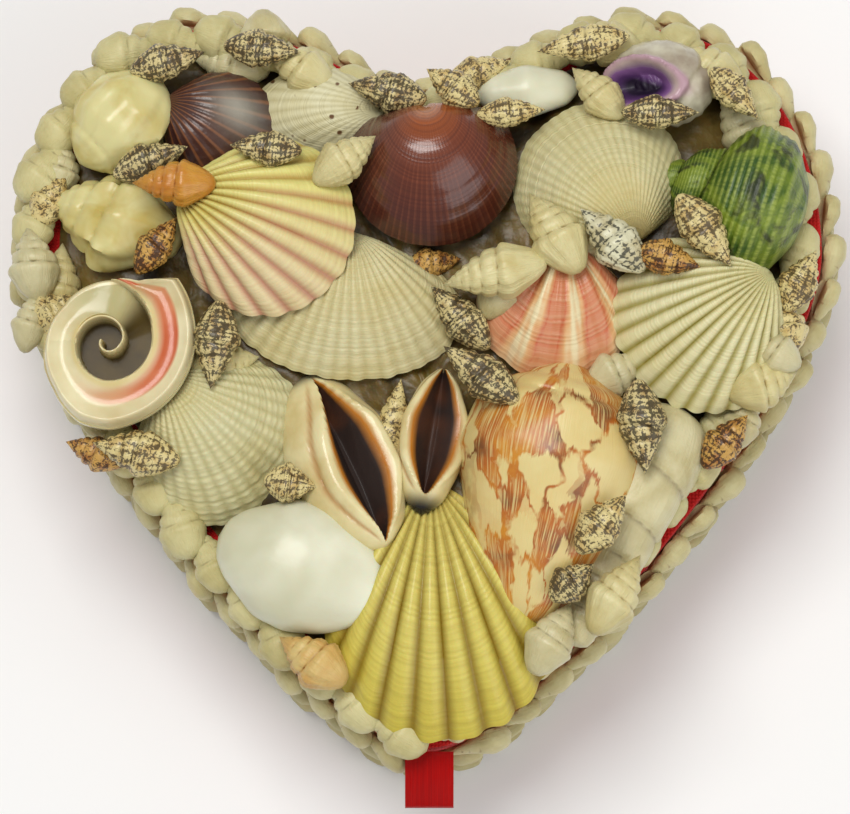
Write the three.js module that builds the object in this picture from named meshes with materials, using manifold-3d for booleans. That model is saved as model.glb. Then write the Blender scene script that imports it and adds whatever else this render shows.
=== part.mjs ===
// A heart-shaped keepsake box. Its board walls and lid are covered in red cloth, rows of small shells run
// round them like a rope, and the top of the lid is a mound of sea shells.
// Millimetres, +Z up. The origin is on the table under the middle of the box. The heart's tip points to -Y.
import * as THREE from 'three';
import { ConvexGeometry } from 'three/addons/geometries/ConvexGeometry.js';
import { mergeVertices } from 'three/addons/utils/BufferGeometryUtils.js';
import Module from 'manifold-3d';

const wasm = await Module();
wasm.setup();
const { Manifold, Mesh: SolidMesh } = wasm;

// The heart, at the cloth-covered edge of the lid
const HEART_WIDTH = 149;
const LOBE_TOP = 70.3;
const TIP_REACH = 66.2;
const CLEFT_DEPTH = 13.5;

// Boards, walls and fits
const WALL = 3;
const FLOOR = 3;
const BASE_HEIGHT = 32;
const LID_HEIGHT = 9;
const LID_BOARD = 3;
const RIM_CLEARANCE = 0.8;
const RIM_THICKNESS = 2;
const RIM_DEPTH = 4;
const GAP = 0.3;

// Rows of small shells
const SIDE_SHELL_THICKNESS = 4.8;
const SIDE_SHELL_HEIGHT = 7.4;
const SIDE_SHELL_PITCH = 8.1;
const BASE_SHELL_PITCH = 9;
const TOP_SHELL_WIDTH = 8.2;
const TOP_SHELL_HEIGHT = 7;
const TOP_SHELL_PITCH = 9.2;
const TOP_ROW_INSET = 3.6;
const TOP_ROW_SHIFT = -1.4;
const WAIST = 0.68;
const BELLY_AT = 0.3;
const WAIST_AT = 0.82;
const LID_ROW_SIDES = 5;
const BASE_ROW_SIDES = 4;
const ROW_CLEARANCE = 0.5;
const TRIM_MARGIN = 0.7;

// Pull tab: a folded ribbon at the heart's tip
const RIBBON_WIDTH = 9;
const RIBBON_THICKNESS = 0.5;
const RIBBON_REACH = 9.6;
const RIBBON_DROOP = 2.5;
const RIBBON_FOLD_GAP = 0.9;
const RIBBON_SLOT = 10.5;

const LID_FOOT = BASE_HEIGHT + GAP;
const LID_TOP = LID_FOOT + LID_HEIGHT;
const HALF_WIDTH = HEART_WIDTH / 2;
const HALF_LENGTH = (LOBE_TOP + TIP_REACH) / 2;
const DEGREE = Math.PI / 180;

// The height above the lid at which a shell lies on the row round the lid's top
const ON_ROW = TOP_SHELL_HEIGHT + 2 * GAP;

// Side views of the coiled shells: the share of the half width reached at shares of the length
const SPINDLE = [[0, 0], [0.14, 0.55], [0.42, 1], [0.74, 0.6], [1, 0]];
const MITRE = [[0, 0], [0.08, 0.42], [0.4, 1], [0.68, 0.72], [1, 0]];
const EGG = [[0, 0], [0.1, 0.6], [0.34, 0.97], [0.62, 1], [0.88, 0.62], [1, 0]];
const VOLUTE = [[0, 0], [0.04, 0.34], [0.3, 0.72], [0.62, 1], [0.84, 0.86], [1, 0]];
const WHELK = [[0, 0], [0.05, 0.4], [0.4, 1], [0.62, 0.86], [0.66, 0.7], [0.88, 0.5], [1, 0]];
const BUBBLE = [[0, 0], [0.1, 0.62], [0.5, 1], [0.9, 0.6], [1, 0]];
const SPINDLE_SIDES = 5;
const SMALL_FLATNESS = 0.86;

// Large shells, from the one lying on top to the one lying lowest. Each is trimmed where another lies on it
const LARGE_SHELLS = [
  { name: 'sawn_whelk', colour: 'salmon', across: -0.772, along: 0.102, heading: 80, rise: ON_ROW,
    make: sawnWhelk, width: 29, thickness: 9, well: 7.4, floor: 2.5, curlTurns: 1.5, curlWall: 1.3 },
  { name: 'white_cockle', colour: 'white', across: 0.476, along: 0.405, heading: 109, rise: 4.5,
    make: valve, length: 29, width: 32.5, height: 11, steps: 14 },
  { name: 'brown_cockle', colour: 'brown', across: 0.008, along: 0.803, heading: -83, rise: 6, pitch: 3,
    make: valve, length: 29.5, width: 33.5, height: 12, steps: 14 },
  { name: 'pink_scallop', colour: 'pinkYellow', across: -0.628, along: 0.535, heading: -36, rise: 8,
    make: valve, length: 35, width: 35, height: 8.5, ribs: 13, relief: 0.55, fan: 0.45 },
  { name: 'cream_scallop', colour: 'cream', across: 0.868, along: 0.309, heading: 222, rise: ON_ROW,
    make: valve, length: 33, width: 36, height: 8.5, ribs: 13, relief: 0.55, fan: 0.45 },
  { name: 'green_turban', colour: 'green', across: 0.793, along: 0.504, heading: 153, rise: 9,
    make: turban, length: 31, width: 33, height: 25 },
  { name: 'purple_snail', colour: 'violet', across: 0.586, along: 0.847, heading: 20, rise: 7.5,
    make: snail, width: 19, mouthWidth: 15, mouthDepth: 6 },
  { name: 'white_bonnet', colour: 'ivory', across: -0.769, along: 0.741, heading: 45, rise: 7,
    make: turned, length: 21, width: 18, height: 15, profile: EGG, sides: 8 },
  { name: 'knobbed_whelk', colour: 'ivory', across: -0.78, along: 0.468, heading: 160, rise: 6,
    make: knobbed, length: 24, width: 18, height: 14, knob: 2.4 },
  { name: 'dark_scallop', colour: 'darkBrown', across: -0.667, along: 0.804, heading: -26, rise: 4.5,
    make: valve, length: 22.5, width: 22, height: 6, ribs: 9, relief: 0.3, fan: 0.47 },
  { name: 'speckled_clam', colour: 'white', across: -0.109, along: 0.781, heading: 182, rise: 3,
    make: valve, length: 25, width: 18, height: 6.5, steps: 10 },
  { name: 'white_bubble', colour: 'white', across: 0.252, along: 0.833, heading: 5, rise: 6,
    make: turned, length: 19.5, width: 10, height: 9, profile: BUBBLE, sides: 8 },
  { name: 'ribbed_cockle', colour: 'white', across: -0.146, along: 0.514, heading: -102, rise: 4.5,
    make: valve, length: 33.5, width: 41, height: 9.5, ribs: 9, relief: 0.25, fan: 0.47 },
  { name: 'striped_scallop', colour: 'coral', across: 0.341, along: 0.424, heading: -99, rise: 5,
    make: valve, length: 26, width: 28, height: 6, ribs: 6, relief: 0.6, fan: 0.45 },
  { name: 'white_cowrie', colour: 'white', across: -0.318, along: -0.492, heading: -24, rise: 8.5,
    make: turned, length: 34, width: 24.5, height: 17.5, profile: BUBBLE, sides: 10 },
  { name: 'open_shell_left', colour: 'ivory', across: -0.222, along: -0.186, heading: 122, rise: 7.5,
    make: openShell, length: 40, width: 17, height: 15, mouthLength: 30, mouthWidth: 7, mouthDepth: 7 },
  { name: 'open_shell_right', colour: 'ivory', across: 0.016, along: -0.124, heading: 84, rise: 8,
    make: openShell, length: 30, width: 13, height: 13, mouthLength: 24, mouthWidth: 6.5, mouthDepth: 6 },
  { name: 'map_volute', colour: 'map', across: 0.295, along: -0.275, heading: 79, rise: 7.5,
    make: turned, length: 51, width: 35, height: 28, profile: VOLUTE, sides: 10 },
  { name: 'pale_whelk', colour: 'ivory', across: 0.578, along: -0.35, heading: 65, rise: 7,
    make: turned, length: 47, width: 18, height: 16, profile: WHELK, sides: 8 },
  { name: 'yellow_scallop', colour: 'yellow', across: 0.019, along: -0.283, heading: -85, rise: ON_ROW,
    make: valve, length: 47.5, width: 40.5, height: 10, ribs: 13, relief: 0.7, fan: 0.44 },
  { name: 'beaded_cockle', colour: 'white', across: -0.697, along: 0, heading: -50, rise: 2,
    make: valve, length: 31, width: 32, height: 9, ribs: 8, relief: 0.25, fan: 0.48 },
];

// Small shells, in the order in which they were glued on. Each comes to rest on what lies under it
const SMALL_SHELLS = [
  { name: 'white_mitre_left', colour: 'cream', across: 0.168, along: 0.297, heading: 193,
    profile: MITRE, sides: 6, length: 19, width: 10 },
  { name: 'white_mitre_right', colour: 'cream', across: 0.31, along: 0.413, heading: 122,
    profile: MITRE, sides: 6, length: 17, width: 10.5 },
  { name: 'orange_whelk', colour: 'orange', across: -0.626, along: 0.542, heading: 180,
    profile: MITRE, sides: 6, length: 14, width: 7.6 },
  { name: 'banded_cone', colour: 'orange', across: -0.282, along: -0.733, heading: 145,
    profile: MITRE, sides: 6, length: 14, width: 9 },
  { name: 'small_whelk', colour: 'ivory', across: 0.468, along: -0.566, heading: 58,
    profile: MITRE, sides: 6, length: 16, width: 9 },
  { name: 'white_dog_whelk', colour: 'white', across: 0.31, along: -0.682, heading: 62,
    profile: MITRE, sides: 6, length: 14, width: 9 },
  { name: 'dove_shell_01', across: -0.652, along: 0.905, heading: 15, length: 14, width: 7 },
  { name: 'dove_shell_02', across: -0.414, along: 0.932, heading: -5, length: 14, width: 7 },
  { name: 'dove_shell_03', across: -0.099, along: 0.818, heading: 168, length: 14.5, width: 7.6 },
  { name: 'dove_shell_04', across: 0.064, along: 0.824, heading: 145, length: 11.5, width: 7 },
  { name: 'dove_shell_05', across: 0.208, along: 0.751, heading: 5, length: 12.5, width: 5.6 },
  { name: 'dove_shell_06', across: 0.391, along: 0.942, heading: 190, length: 17, width: 6.6 },
  { name: 'dove_shell_07', across: 0.426, along: 0.811, heading: 135, length: 13, width: 7.6 },
  { name: 'dove_shell_08', across: 0.58, along: 0.745, heading: 0, length: 14, width: 6.3 },
  { name: 'dove_shell_09', across: 0.768, along: 0.805, heading: -48, length: 12.5, width: 6.6 },
  { name: 'dove_shell_10', across: -0.69, along: 0.623, heading: 22, length: 14.5, width: 7.2 },
  { name: 'dove_shell_11', across: -0.4, along: 0.64, heading: 175, length: 13, width: 6.6 },
  { name: 'dove_shell_12', across: -0.204, along: 0.612, heading: 38, length: 14, width: 8.4 },
  { name: 'dove_shell_13', across: -0.671, along: 0.388, heading: 55, length: 12.6, width: 6.4 },
  { name: 'dove_shell_14', across: -0.526, along: 0.112, heading: -96, length: 16, width: 8.5 },
  { name: 'dove_shell_15', across: 0.082, along: 0.193, heading: 132, length: 15.5, width: 7.4 },
  { name: 'dove_shell_16', across: 0.132, along: 0.024, heading: 143, length: 16.5, width: 8 },
  { name: 'dove_shell_17', across: 0.458, along: 0.392, heading: 135, length: 16, width: 8.8 },
  { name: 'dove_shell_18', across: 0.595, along: 0.336, heading: -15, length: 12, width: 6.8 },
  { name: 'dove_shell_19', across: 0.688, along: 0.413, heading: -54, length: 16, width: 8.2 },
  { name: 'dove_shell_20', across: 0.528, along: -0.119, heading: -86, length: 17, width: 8.8 },
  { name: 'dove_shell_21', across: 0.429, along: -0.383, heading: 50, length: 13.5, width: 7.8 },
  { name: 'dove_shell_22', across: -0.719, along: -0.174, heading: 168, length: 16, width: 8.4 },
  { name: 'dove_shell_23', across: -0.338, along: -0.267, heading: -8, length: 9.5, width: 7.3 },
  { name: 'dove_shell_24', across: 0.741, along: -0.147, heading: 50, length: 12.5, width: 7 },
  { name: 'dove_shell_25', across: 0.933, along: 0.293, heading: 62, length: 12.5, width: 7.2 },
  { name: 'dove_shell_26', across: 0.355, along: -0.531, heading: 40, length: 10, width: 7 },
];

// The right half of the heart, from the cleft round the lobe and down the flank to the tip
function halfHeart() {
  const at = (x, y) => new THREE.Vector2(x * HALF_WIDTH, y);
  const lobe = LOBE_TOP;
  const widest = LOBE_TOP * 0.39;
  const flankEnd = -TIP_REACH * 0.916;
  const cleft = at(0, LOBE_TOP - CLEFT_DEPTH);
  const top = at(0.55, lobe);
  const side = at(1, widest);
  const flank = at(0.166, flankEnd);
  const tip = at(0, -TIP_REACH);
  return [
    new THREE.CubicBezierCurve(cleft, at(0.14, cleft.y), at(0.3, lobe), top),
    new THREE.CubicBezierCurve(top, at(0.83, lobe), at(1, lobe * 0.72), side),
    new THREE.CubicBezierCurve(side, at(1, widest - lobe * 0.3), at(0.5, -TIP_REACH * 0.626), flank),
    new THREE.CubicBezierCurve(flank, at(0.11, -TIP_REACH * 0.965), at(0.055, -TIP_REACH), tip),
  ];
}

// The heart's edge moved outwards by a distance, as points from the cleft clockwise back to the cleft
function heartEdge(outwards, steps) {
  const half = [];
  halfHeart().forEach((curve, index) => {
    for (let i = index === 0 ? 0 : 1; i <= steps[index]; i++) {
      const t = i / steps[index];
      const along = curve.getTangent(t);
      half.push(curve.getPoint(t).add(new THREE.Vector2(-along.y, along.x).multiplyScalar(outwards)));
    }
  });
  half[0].x = 0;
  half[half.length - 1].x = 0;
  const mirrored = half.slice(1, -1).reverse().map((p) => new THREE.Vector2(-p.x, p.y));
  return [...half, ...mirrored];
}

const BOARD_STEPS = [6, 6, 6, 3];
const PATH_STEPS = [40, 40, 40, 40];

function merged(geometry) {
  const bare = geometry.clone();
  bare.deleteAttribute('normal');
  bare.deleteAttribute('uv');
  return mergeVertices(bare, 1e-4);
}

// A closed geometry as a solid with its faces outwards; faces that collapsed at a pole are dropped
function toSolid(geometry) {
  const mesh = merged(geometry);
  const index = [];
  for (let i = 0; i < mesh.index.count; i += 3) {
    const [a, b, c] = [mesh.index.getX(i), mesh.index.getX(i + 1), mesh.index.getX(i + 2)];
    if (a !== b && b !== c && c !== a) index.push(a, b, c);
  }
  const make = (order) => new Manifold(new SolidMesh({
    numProp: 3,
    vertProperties: new Float32Array(mesh.attributes.position.array),
    triVerts: new Uint32Array(order),
  }));
  const solid = make(index);
  return solid.volume() > 0 ? solid : make(index.reverse());
}

function toGeometry(solid) {
  const mesh = solid.getMesh();
  const geometry = new THREE.BufferGeometry();
  geometry.setAttribute('position', new THREE.BufferAttribute(mesh.vertProperties, 3));
  geometry.setIndex(new THREE.BufferAttribute(mesh.triVerts, 1));
  return geometry;
}

function moved(solid, matrix) {
  return solid.transform(matrix.elements);
}

function pointsOf(solid) {
  const { vertProperties, numProp } = solid.getMesh();
  const points = [];
  for (let i = 0; i < vertProperties.length; i += numProp) {
    points.push(new THREE.Vector3(vertProperties[i], vertProperties[i + 1], vertProperties[i + 2]));
  }
  return points;
}

// What a shell takes away from the shells under it: its wrapped outline with a gap all round, and all above
function clearance(solid, placed) {
  const points = pointsOf(solid);
  const size = new THREE.Box3().setFromPoints(points);
  const middle = size.getCenter(new THREE.Vector3());
  const factors = size.getSize(new THREE.Vector3()).toArray().map((side) => 1 + (2 * GAP) / side);
  const grow = new THREE.Vector3(...factors);
  points.forEach((p) => p.sub(middle).multiply(grow).add(middle).applyMatrix4(placed));
  const above = points.map((p) => new THREE.Vector3(p.x, p.y, LID_TOP + HALF_LENGTH));
  return toSolid(new ConvexGeometry([...points, ...above]));
}

function largest(solid) {
  const parts = solid.decompose();
  return parts.reduce((best, part) => (part.volume() > best.volume() ? part : best));
}

// A flat outline raised from one height to another
function prism(outline, low, high) {
  const depth = high - low;
  const geometry = new THREE.ExtrudeGeometry(new THREE.Shape(outline), { depth, bevelEnabled: false });
  return toSolid(geometry.translate(0, 0, low));
}

function boxBase() {
  const outside = prism(heartEdge(0, BOARD_STEPS), 0, BASE_HEIGHT);
  return outside.subtract(prism(heartEdge(-WALL, BOARD_STEPS), FLOOR, BASE_HEIGHT + WALL));
}

// The lid's board, its side band and the rim that drops inside the box to keep it in place
function boxLid() {
  const rimOutside = -(WALL + RIM_CLEARANCE);
  const rimInside = rimOutside - RIM_THICKNESS;
  const band = prism(heartEdge(0, BOARD_STEPS), LID_FOOT, LID_TOP);
  const rim = prism(heartEdge(rimOutside, BOARD_STEPS), LID_FOOT - RIM_DEPTH, LID_TOP - LID_BOARD);
  const hollow = prism(heartEdge(rimInside, BOARD_STEPS), LID_FOOT - RIM_DEPTH - WALL, LID_TOP - LID_BOARD);
  return band.add(rim).subtract(hollow);
}

// A ribbon folded back on itself, side view in Y and Z, as wide as the ribbon in X
function pullTab() {
  const start = -TIP_REACH - GAP;
  const top = LID_TOP - RIBBON_THICKNESS;
  const sag = (share) => RIBBON_DROOP * share * share;
  const shares = [0, 0.3, 0.6, 0.85, 1];
  const layer = (drop) => shares.map((s) => new THREE.Vector2(start - s * RIBBON_REACH, top - sag(s) - drop));
  const fold = RIBBON_FOLD_GAP + 2 * RIBBON_THICKNESS;
  const bow = new THREE.Vector2(start - RIBBON_REACH - fold / 2, top - RIBBON_DROOP - fold / 2);
  const inner = new THREE.Vector2(bow.x + RIBBON_THICKNESS, bow.y);
  const outline = [
    ...layer(0), bow, ...layer(fold).reverse(),
    ...layer(fold - RIBBON_THICKNESS), inner, ...layer(RIBBON_THICKNESS).reverse(),
  ];
  const depth = RIBBON_WIDTH;
  const geometry = new THREE.ExtrudeGeometry(new THREE.Shape(outline), { depth, bevelEnabled: false });
  geometry.translate(0, 0, -RIBBON_WIDTH / 2);
  const turn = new THREE.Matrix4().makeBasis(
    new THREE.Vector3(0, 1, 0), new THREE.Vector3(0, 0, 1), new THREE.Vector3(1, 0, 0),
  );
  return toSolid(geometry.applyMatrix4(turn));
}

// A closed surface through rings of points. The ends close on a point each, or on each other in a loop
function skin(rings, ends) {
  const sides = rings[0].length;
  const points = rings.flat();
  const faces = [];
  const joins = ends ? rings.length - 1 : rings.length;
  for (let r = 0; r < joins; r++) {
    const [near, far] = [r * sides, ((r + 1) % rings.length) * sides];
    for (let s = 0; s < sides; s++) {
      const next = (s + 1) % sides;
      faces.push(near + s, near + next, far + s, near + next, far + next, far + s);
    }
  }
  if (ends) {
    points.push(...ends);
    const last = (rings.length - 1) * sides;
    for (let s = 0; s < sides; s++) {
      const next = (s + 1) % sides;
      faces.push(points.length - 2, next, s, points.length - 1, last + s, last + next);
    }
  }
  const geometry = new THREE.BufferGeometry().setFromPoints(points);
  geometry.setIndex(faces);
  return toSolid(geometry);
}

// Places along the heart's edge moved outwards, by distance from the cleft
function heartPath(outwards) {
  const points = heartEdge(outwards, PATH_STEPS);
  points.push(points[0]);
  const reached = [0];
  for (let i = 1; i < points.length; i++) reached.push(reached[i - 1] + points[i].distanceTo(points[i - 1]));
  const length = reached[reached.length - 1];
  const at = (distance) => {
    const wanted = ((distance % length) + length) % length;
    const i = Math.max(1, reached.findIndex((r) => r >= wanted));
    const along = points[i].clone().sub(points[i - 1]);
    const share = (wanted - reached[i - 1]) / (reached[i] - reached[i - 1]);
    return {
      place: points[i - 1].clone().addScaledVector(along, share),
      outward: new THREE.Vector2(-along.y, along.x).normalize(),
    };
  };
  return { length, at };
}

// The corners of a polygon with a flat at 0, the far side at 1, and a half width of 1
function section(sides) {
  const corners = Array.from({ length: sides }, (_, s) => Math.PI + ((2 * s + 1) * Math.PI) / sides);
  const [near, far] = [Math.min(...corners.map(Math.cos)), Math.max(...corners.map(Math.cos))];
  const half = Math.max(...corners.map(Math.sin));
  return corners.map((angle) => [(Math.cos(angle) - near) / (far - near), Math.sin(angle) / half]);
}

// One row of small shells laid nose to tail along the heart's edge. Each is a fat belly and a narrow waist.
// The shells' flat sides stand on the board's side, or on its top. With a waist of 0 it is a plain tube
function shellRow({ onTop, outwards, foot, width, depth, pitch, sides, waist = WAIST, slot = 0, shift = 0 }) {
  const path = heartPath(outwards);
  const first = path.length / 2 + slot / 2;
  const run = path.length - slot;
  const count = Math.round(run / pitch);
  const corners = section(sides);
  const ring = (distance, scale) => {
    const { place, outward } = path.at(distance);
    return corners.map(([away, side]) => {
      const [off, along] = [away * depth * scale, (side * width * scale) / 2];
      const [out, up] = onTop ? [-along, off] : [off, along];
      return new THREE.Vector3(place.x + outward.x * out + shift, place.y + outward.y * out, foot + up);
    });
  };
  const rings = [];
  for (let k = 0; k < count; k++) {
    const from = first + (k * run) / count;
    rings.push(ring(from + (BELLY_AT * run) / count, 1));
    if (waist) rings.push(ring(from + (WAIST_AT * run) / count, waist));
  }
  if (!slot) return skin(rings, null);
  const end = (distance) => {
    const { place, outward } = path.at(distance);
    const out = (depth * waist) / 2;
    return new THREE.Vector3(place.x + outward.x * out, place.y + outward.y * out, foot);
  };
  return skin(rings, [end(first), end(first + run)]);
}

// One half of a bivalve: a dome that fans out along +Y from its beak over the origin, its underside at 0.
// The outline is an ellipse seen from the beak: round at fan 0.5, and straight-sided like a scallop below
function valve({ length, width, height, ribs = 0, relief = 0, fan = 0.5, steps, edge = 1.5, back = 0.75 }) {
  const [a, b] = [width / 2, length * fan];
  const c = length - b;
  const widest = c > b ? Math.atan(a / Math.sqrt(c * c - b * b)) * 0.98 : 82 * DEGREE;
  const across = steps || 2 * ribs;
  const reach = (angle) => {
    const [s, k] = [Math.sin(angle), Math.cos(angle)];
    const [p, q, r] = [(s * s) / (a * a) + (k * k) / (b * b), (c * k) / (b * b), (c * c) / (b * b) - 1];
    return (q + Math.sqrt(Math.max(0, q * q - p * r))) / p;
  };
  const shares = [0.3, 0.68, 1];
  const top = [[0, 0, edge]];
  const under = [[0, 0, 0]];
  for (let i = 0; i <= across; i++) {
    const side = (2 * i) / across - 1;
    const angle = side * widest;
    const crest = ribs ? Math.cos((Math.PI * ribs * (side + 1))) * -1 : 0;
    const inside = i > 0 && i < across;
    shares.forEach((share) => {
      const r = reach(angle) * share * (1 + (inside && ribs ? 0.012 * crest * share : 0));
      const dome = Math.sin(Math.PI * share ** back) ** 0.85 * Math.sqrt(Math.max(0, 1 - side * side));
      const rib = inside ? relief * crest * share : 0;
      const z = share === 1 ? Math.max(0, rib) : height * dome + rib;
      top.push([r * Math.sin(angle), r * Math.cos(angle), inside ? edge + z : edge]);
    });
    const [x, y] = top[top.length - 1];
    under.push([x, y, 0]);
  }
  const points = [...top, ...under].map((p) => new THREE.Vector3(...p));
  const [rows, low] = [shares.length, top.length];
  const at = (i, r) => 1 + i * rows + r;
  const faces = [];
  for (let i = 0; i < across; i++) {
    faces.push(0, at(i, 0), at(i + 1, 0));
    for (let r = 0; r < rows - 1; r++) {
      faces.push(at(i, r), at(i, r + 1), at(i + 1, r + 1), at(i, r), at(i + 1, r + 1), at(i + 1, r));
    }
    faces.push(at(i, rows - 1), low + 1 + i, low + 2 + i, at(i, rows - 1), low + 2 + i, at(i + 1, rows - 1));
    faces.push(low, low + 2 + i, low + 1 + i);
  }
  for (const [i, flip] of [[0, false], [across, true]]) {
    const chain = [0, ...shares.map((_, r) => at(i, r)), low + 1 + i];
    for (let k = 0; k < chain.length - 1; k++) {
      faces.push(low, ...(flip ? [chain[k], chain[k + 1]] : [chain[k + 1], chain[k]]));
    }
  }
  const geometry = new THREE.BufferGeometry().setFromPoints(points);
  geometry.setIndex(faces);
  return toSolid(geometry);
}

// A coiled shell turned about its length: the profile gives the share of the width at shares of the length
function turned({ length, width, height, profile, sides = 6 }) {
  const points = profile.map(([along, out]) => new THREE.Vector2((out * width) / 2, (along - 0.5) * length));
  const geometry = new THREE.LatheGeometry(points, sides);
  return toSolid(geometry.scale(1, 1, (height || width) / width));
}

// An egg-shaped shell lying mouth up, with the long slit of its mouth cut into it
function openShell({ length, width, height, mouthLength, mouthWidth, mouthDepth }) {
  const body = turned({ length, width, height, profile: EGG, sides: 8 });
  const slit = { length: mouthLength, width: mouthWidth, height: 2 * mouthDepth };
  const mouth = turned({ ...slit, profile: BUBBLE, sides: 4 });
  return body.subtract(mouth.translate([width * 0.08, 0, height * 0.48]));
}

// A turban shell: three round whorls, each smaller, along +Y
function turban({ length, width, height }) {
  const whorl = (long, wide, high, sides) => turned({
    length: length * long,
    width: width * wide,
    height: height * high,
    profile: BUBBLE,
    sides,
  });
  const body = whorl(0.66, 1, 1, 8);
  const second = whorl(0.42, 0.52, 0.56, 6);
  const apex = whorl(0.24, 0.22, 0.26, 6);
  const low = -height * 0.14;
  return body
    .add(second.translate([0, length * 0.36, low]))
    .add(apex.translate([0, length * 0.58, low]));
}

// A round snail shell with its wide mouth open to one side and up
function snail({ width, mouthWidth, mouthDepth }) {
  const body = turned({ length: width, width, profile: BUBBLE, sides: 8 });
  const opening = { length: mouthWidth, width: mouthWidth * 0.62, height: 2 * mouthDepth };
  const mouth = turned({ ...opening, profile: BUBBLE, sides: 6 });
  const tilt = new THREE.Matrix4().makeRotationX(-28 * DEGREE).setPosition(0, -width * 0.18, width * 0.44);
  return body.subtract(moved(mouth.rotate([0, 0, 90]), tilt));
}

// A whelk sawn across: a ring-shaped outer whorl round a deep well, and a curl of wall in the well
function sawnWhelk({ width, thickness, well, floor, curlTurns, curlWall }) {
  const r = width / 2;
  const bowl = [
    [0, 0], [r * 0.8, 0], [r, thickness * 0.4], [r * 0.97, thickness * 0.8], [r * 0.8, thickness],
    [well, thickness * 0.78], [well - 0.8, floor], [0, floor],
  ].map(([x, y]) => new THREE.Vector2(x, y));
  const body = toSolid(new THREE.LatheGeometry(bowl, 16).rotateX(90 * DEGREE));
  const steps = 10;
  const spiral = (offset) => Array.from({ length: steps + 1 }, (_, i) => {
    const share = i / steps;
    const angle = share * curlTurns * 2 * Math.PI;
    const radius = well * (0.14 + 0.92 * share ** 1.6) + offset;
    return new THREE.Vector2(radius * Math.cos(angle), -radius * Math.sin(angle));
  });
  const curl = [...spiral(curlWall / 2), ...spiral(-curlWall / 2).reverse()];
  return body.add(prism(curl, floor - 0.5, thickness * 0.8));
}

// A whelk with a row of knobs on its shoulder
function knobbed({ length, width, height, knob }) {
  let solid = turned({ length, width, height, profile: WHELK, sides: 8 });
  for (const angle of [-35, 10, 55]) {
    const [across, up] = [Math.sin(angle * DEGREE), Math.cos(angle * DEGREE)];
    const place = [(width / 2) * across, -length * 0.06, (height / 2) * up];
    solid = solid.add(toSolid(new THREE.OctahedronGeometry(knob)).translate(place));
  }
  return solid;
}

// Where a shell lies on the lid: its middle or beak as shares of the heart's half width and half length, the
// way that its +Y points (degrees from +X), its height above the lid, and how far it is pitched and rolled
function placement({ across, along, heading, rise = 0, pitch = 0, roll = 0 }) {
  const turn = new THREE.Euler(pitch * DEGREE, roll * DEGREE, (heading - 90) * DEGREE, 'ZXY');
  return new THREE.Matrix4()
    .makeRotationFromEuler(turn)
    .setPosition(across * HALF_WIDTH, along * HALF_LENGTH, LID_TOP + rise);
}

const COLOURS = {
  cloth: [0xb3121b, 0.75],
  ribbon: [0xc01010, 0.35],
  ivory: [0xe2d9b8, 0.5],
  white: [0xe8e6d6, 0.35],
  yellow: [0xcfc56a, 0.45],
  pinkYellow: [0xe0cf94, 0.45],
  cream: [0xe9e4bb, 0.45],
  brown: [0x6b3323, 0.25],
  darkBrown: [0x5d3a35, 0.3],
  coral: [0xd98f78, 0.4],
  map: [0xd9a566, 0.25],
  salmon: [0xe3b79b, 0.3],
  green: [0x6f8f45, 0.4],
  violet: [0xa98bb0, 0.35],
  speckled: [0x8d8264, 0.5],
  orange: [0xd99a3d, 0.4],
};

function material(name) {
  const [color, roughness] = COLOURS[name];
  return new THREE.MeshStandardMaterial({ color, roughness, metalness: 0 });
}

const box = new THREE.Group();

function addPiece(name, colour, solid, placed = new THREE.Matrix4()) {
  const mesh = new THREE.Mesh(toGeometry(moved(solid, placed.clone().invert())), material(colour));
  mesh.name = name;
  placed.decompose(mesh.position, mesh.quaternion, mesh.scale);
  box.add(mesh);
}

const sideRow = {
  onTop: false,
  outwards: ROW_CLEARANCE,
  width: SIDE_SHELL_HEIGHT,
  depth: SIDE_SHELL_THICKNESS,
};
const lidSideRow = shellRow({
  ...sideRow,
  sides: LID_ROW_SIDES,
  pitch: SIDE_SHELL_PITCH,
  foot: (LID_FOOT + LID_TOP) / 2,
  slot: RIBBON_SLOT,
});
const baseRow = { ...sideRow, sides: BASE_ROW_SIDES, pitch: BASE_SHELL_PITCH };
const baseTopRow = shellRow({ ...baseRow, foot: BASE_HEIGHT - GAP - SIDE_SHELL_HEIGHT / 2 });
const baseFootRow = shellRow({ ...baseRow, foot: GAP + SIDE_SHELL_HEIGHT / 2 });
const topRow = {
  onTop: true,
  sides: LID_ROW_SIDES,
  outwards: -TOP_ROW_INSET,
  foot: LID_TOP + GAP,
  width: TOP_SHELL_WIDTH,
  depth: TOP_SHELL_HEIGHT,
  pitch: TOP_SHELL_PITCH,
  shift: TOP_ROW_SHIFT,
};
const lidTopRow = shellRow(topRow);

addPiece('base_box', 'cloth', boxBase());
addPiece('lid', 'cloth', boxLid());
addPiece('ribbon_tab', 'ribbon', pullTab());
addPiece('lid_side_row', 'ivory', lidSideRow);
addPiece('lid_top_row', 'ivory', lidTopRow);
addPiece('base_top_row', 'ivory', baseTopRow);
addPiece('base_foot_row', 'ivory', baseFootRow);

const overlaps = (one, other) => {
  const along = (i) => one.min[i] < other.max[i] && other.min[i] < one.max[i];
  return along(0) && along(1) && along(2);
};

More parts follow.
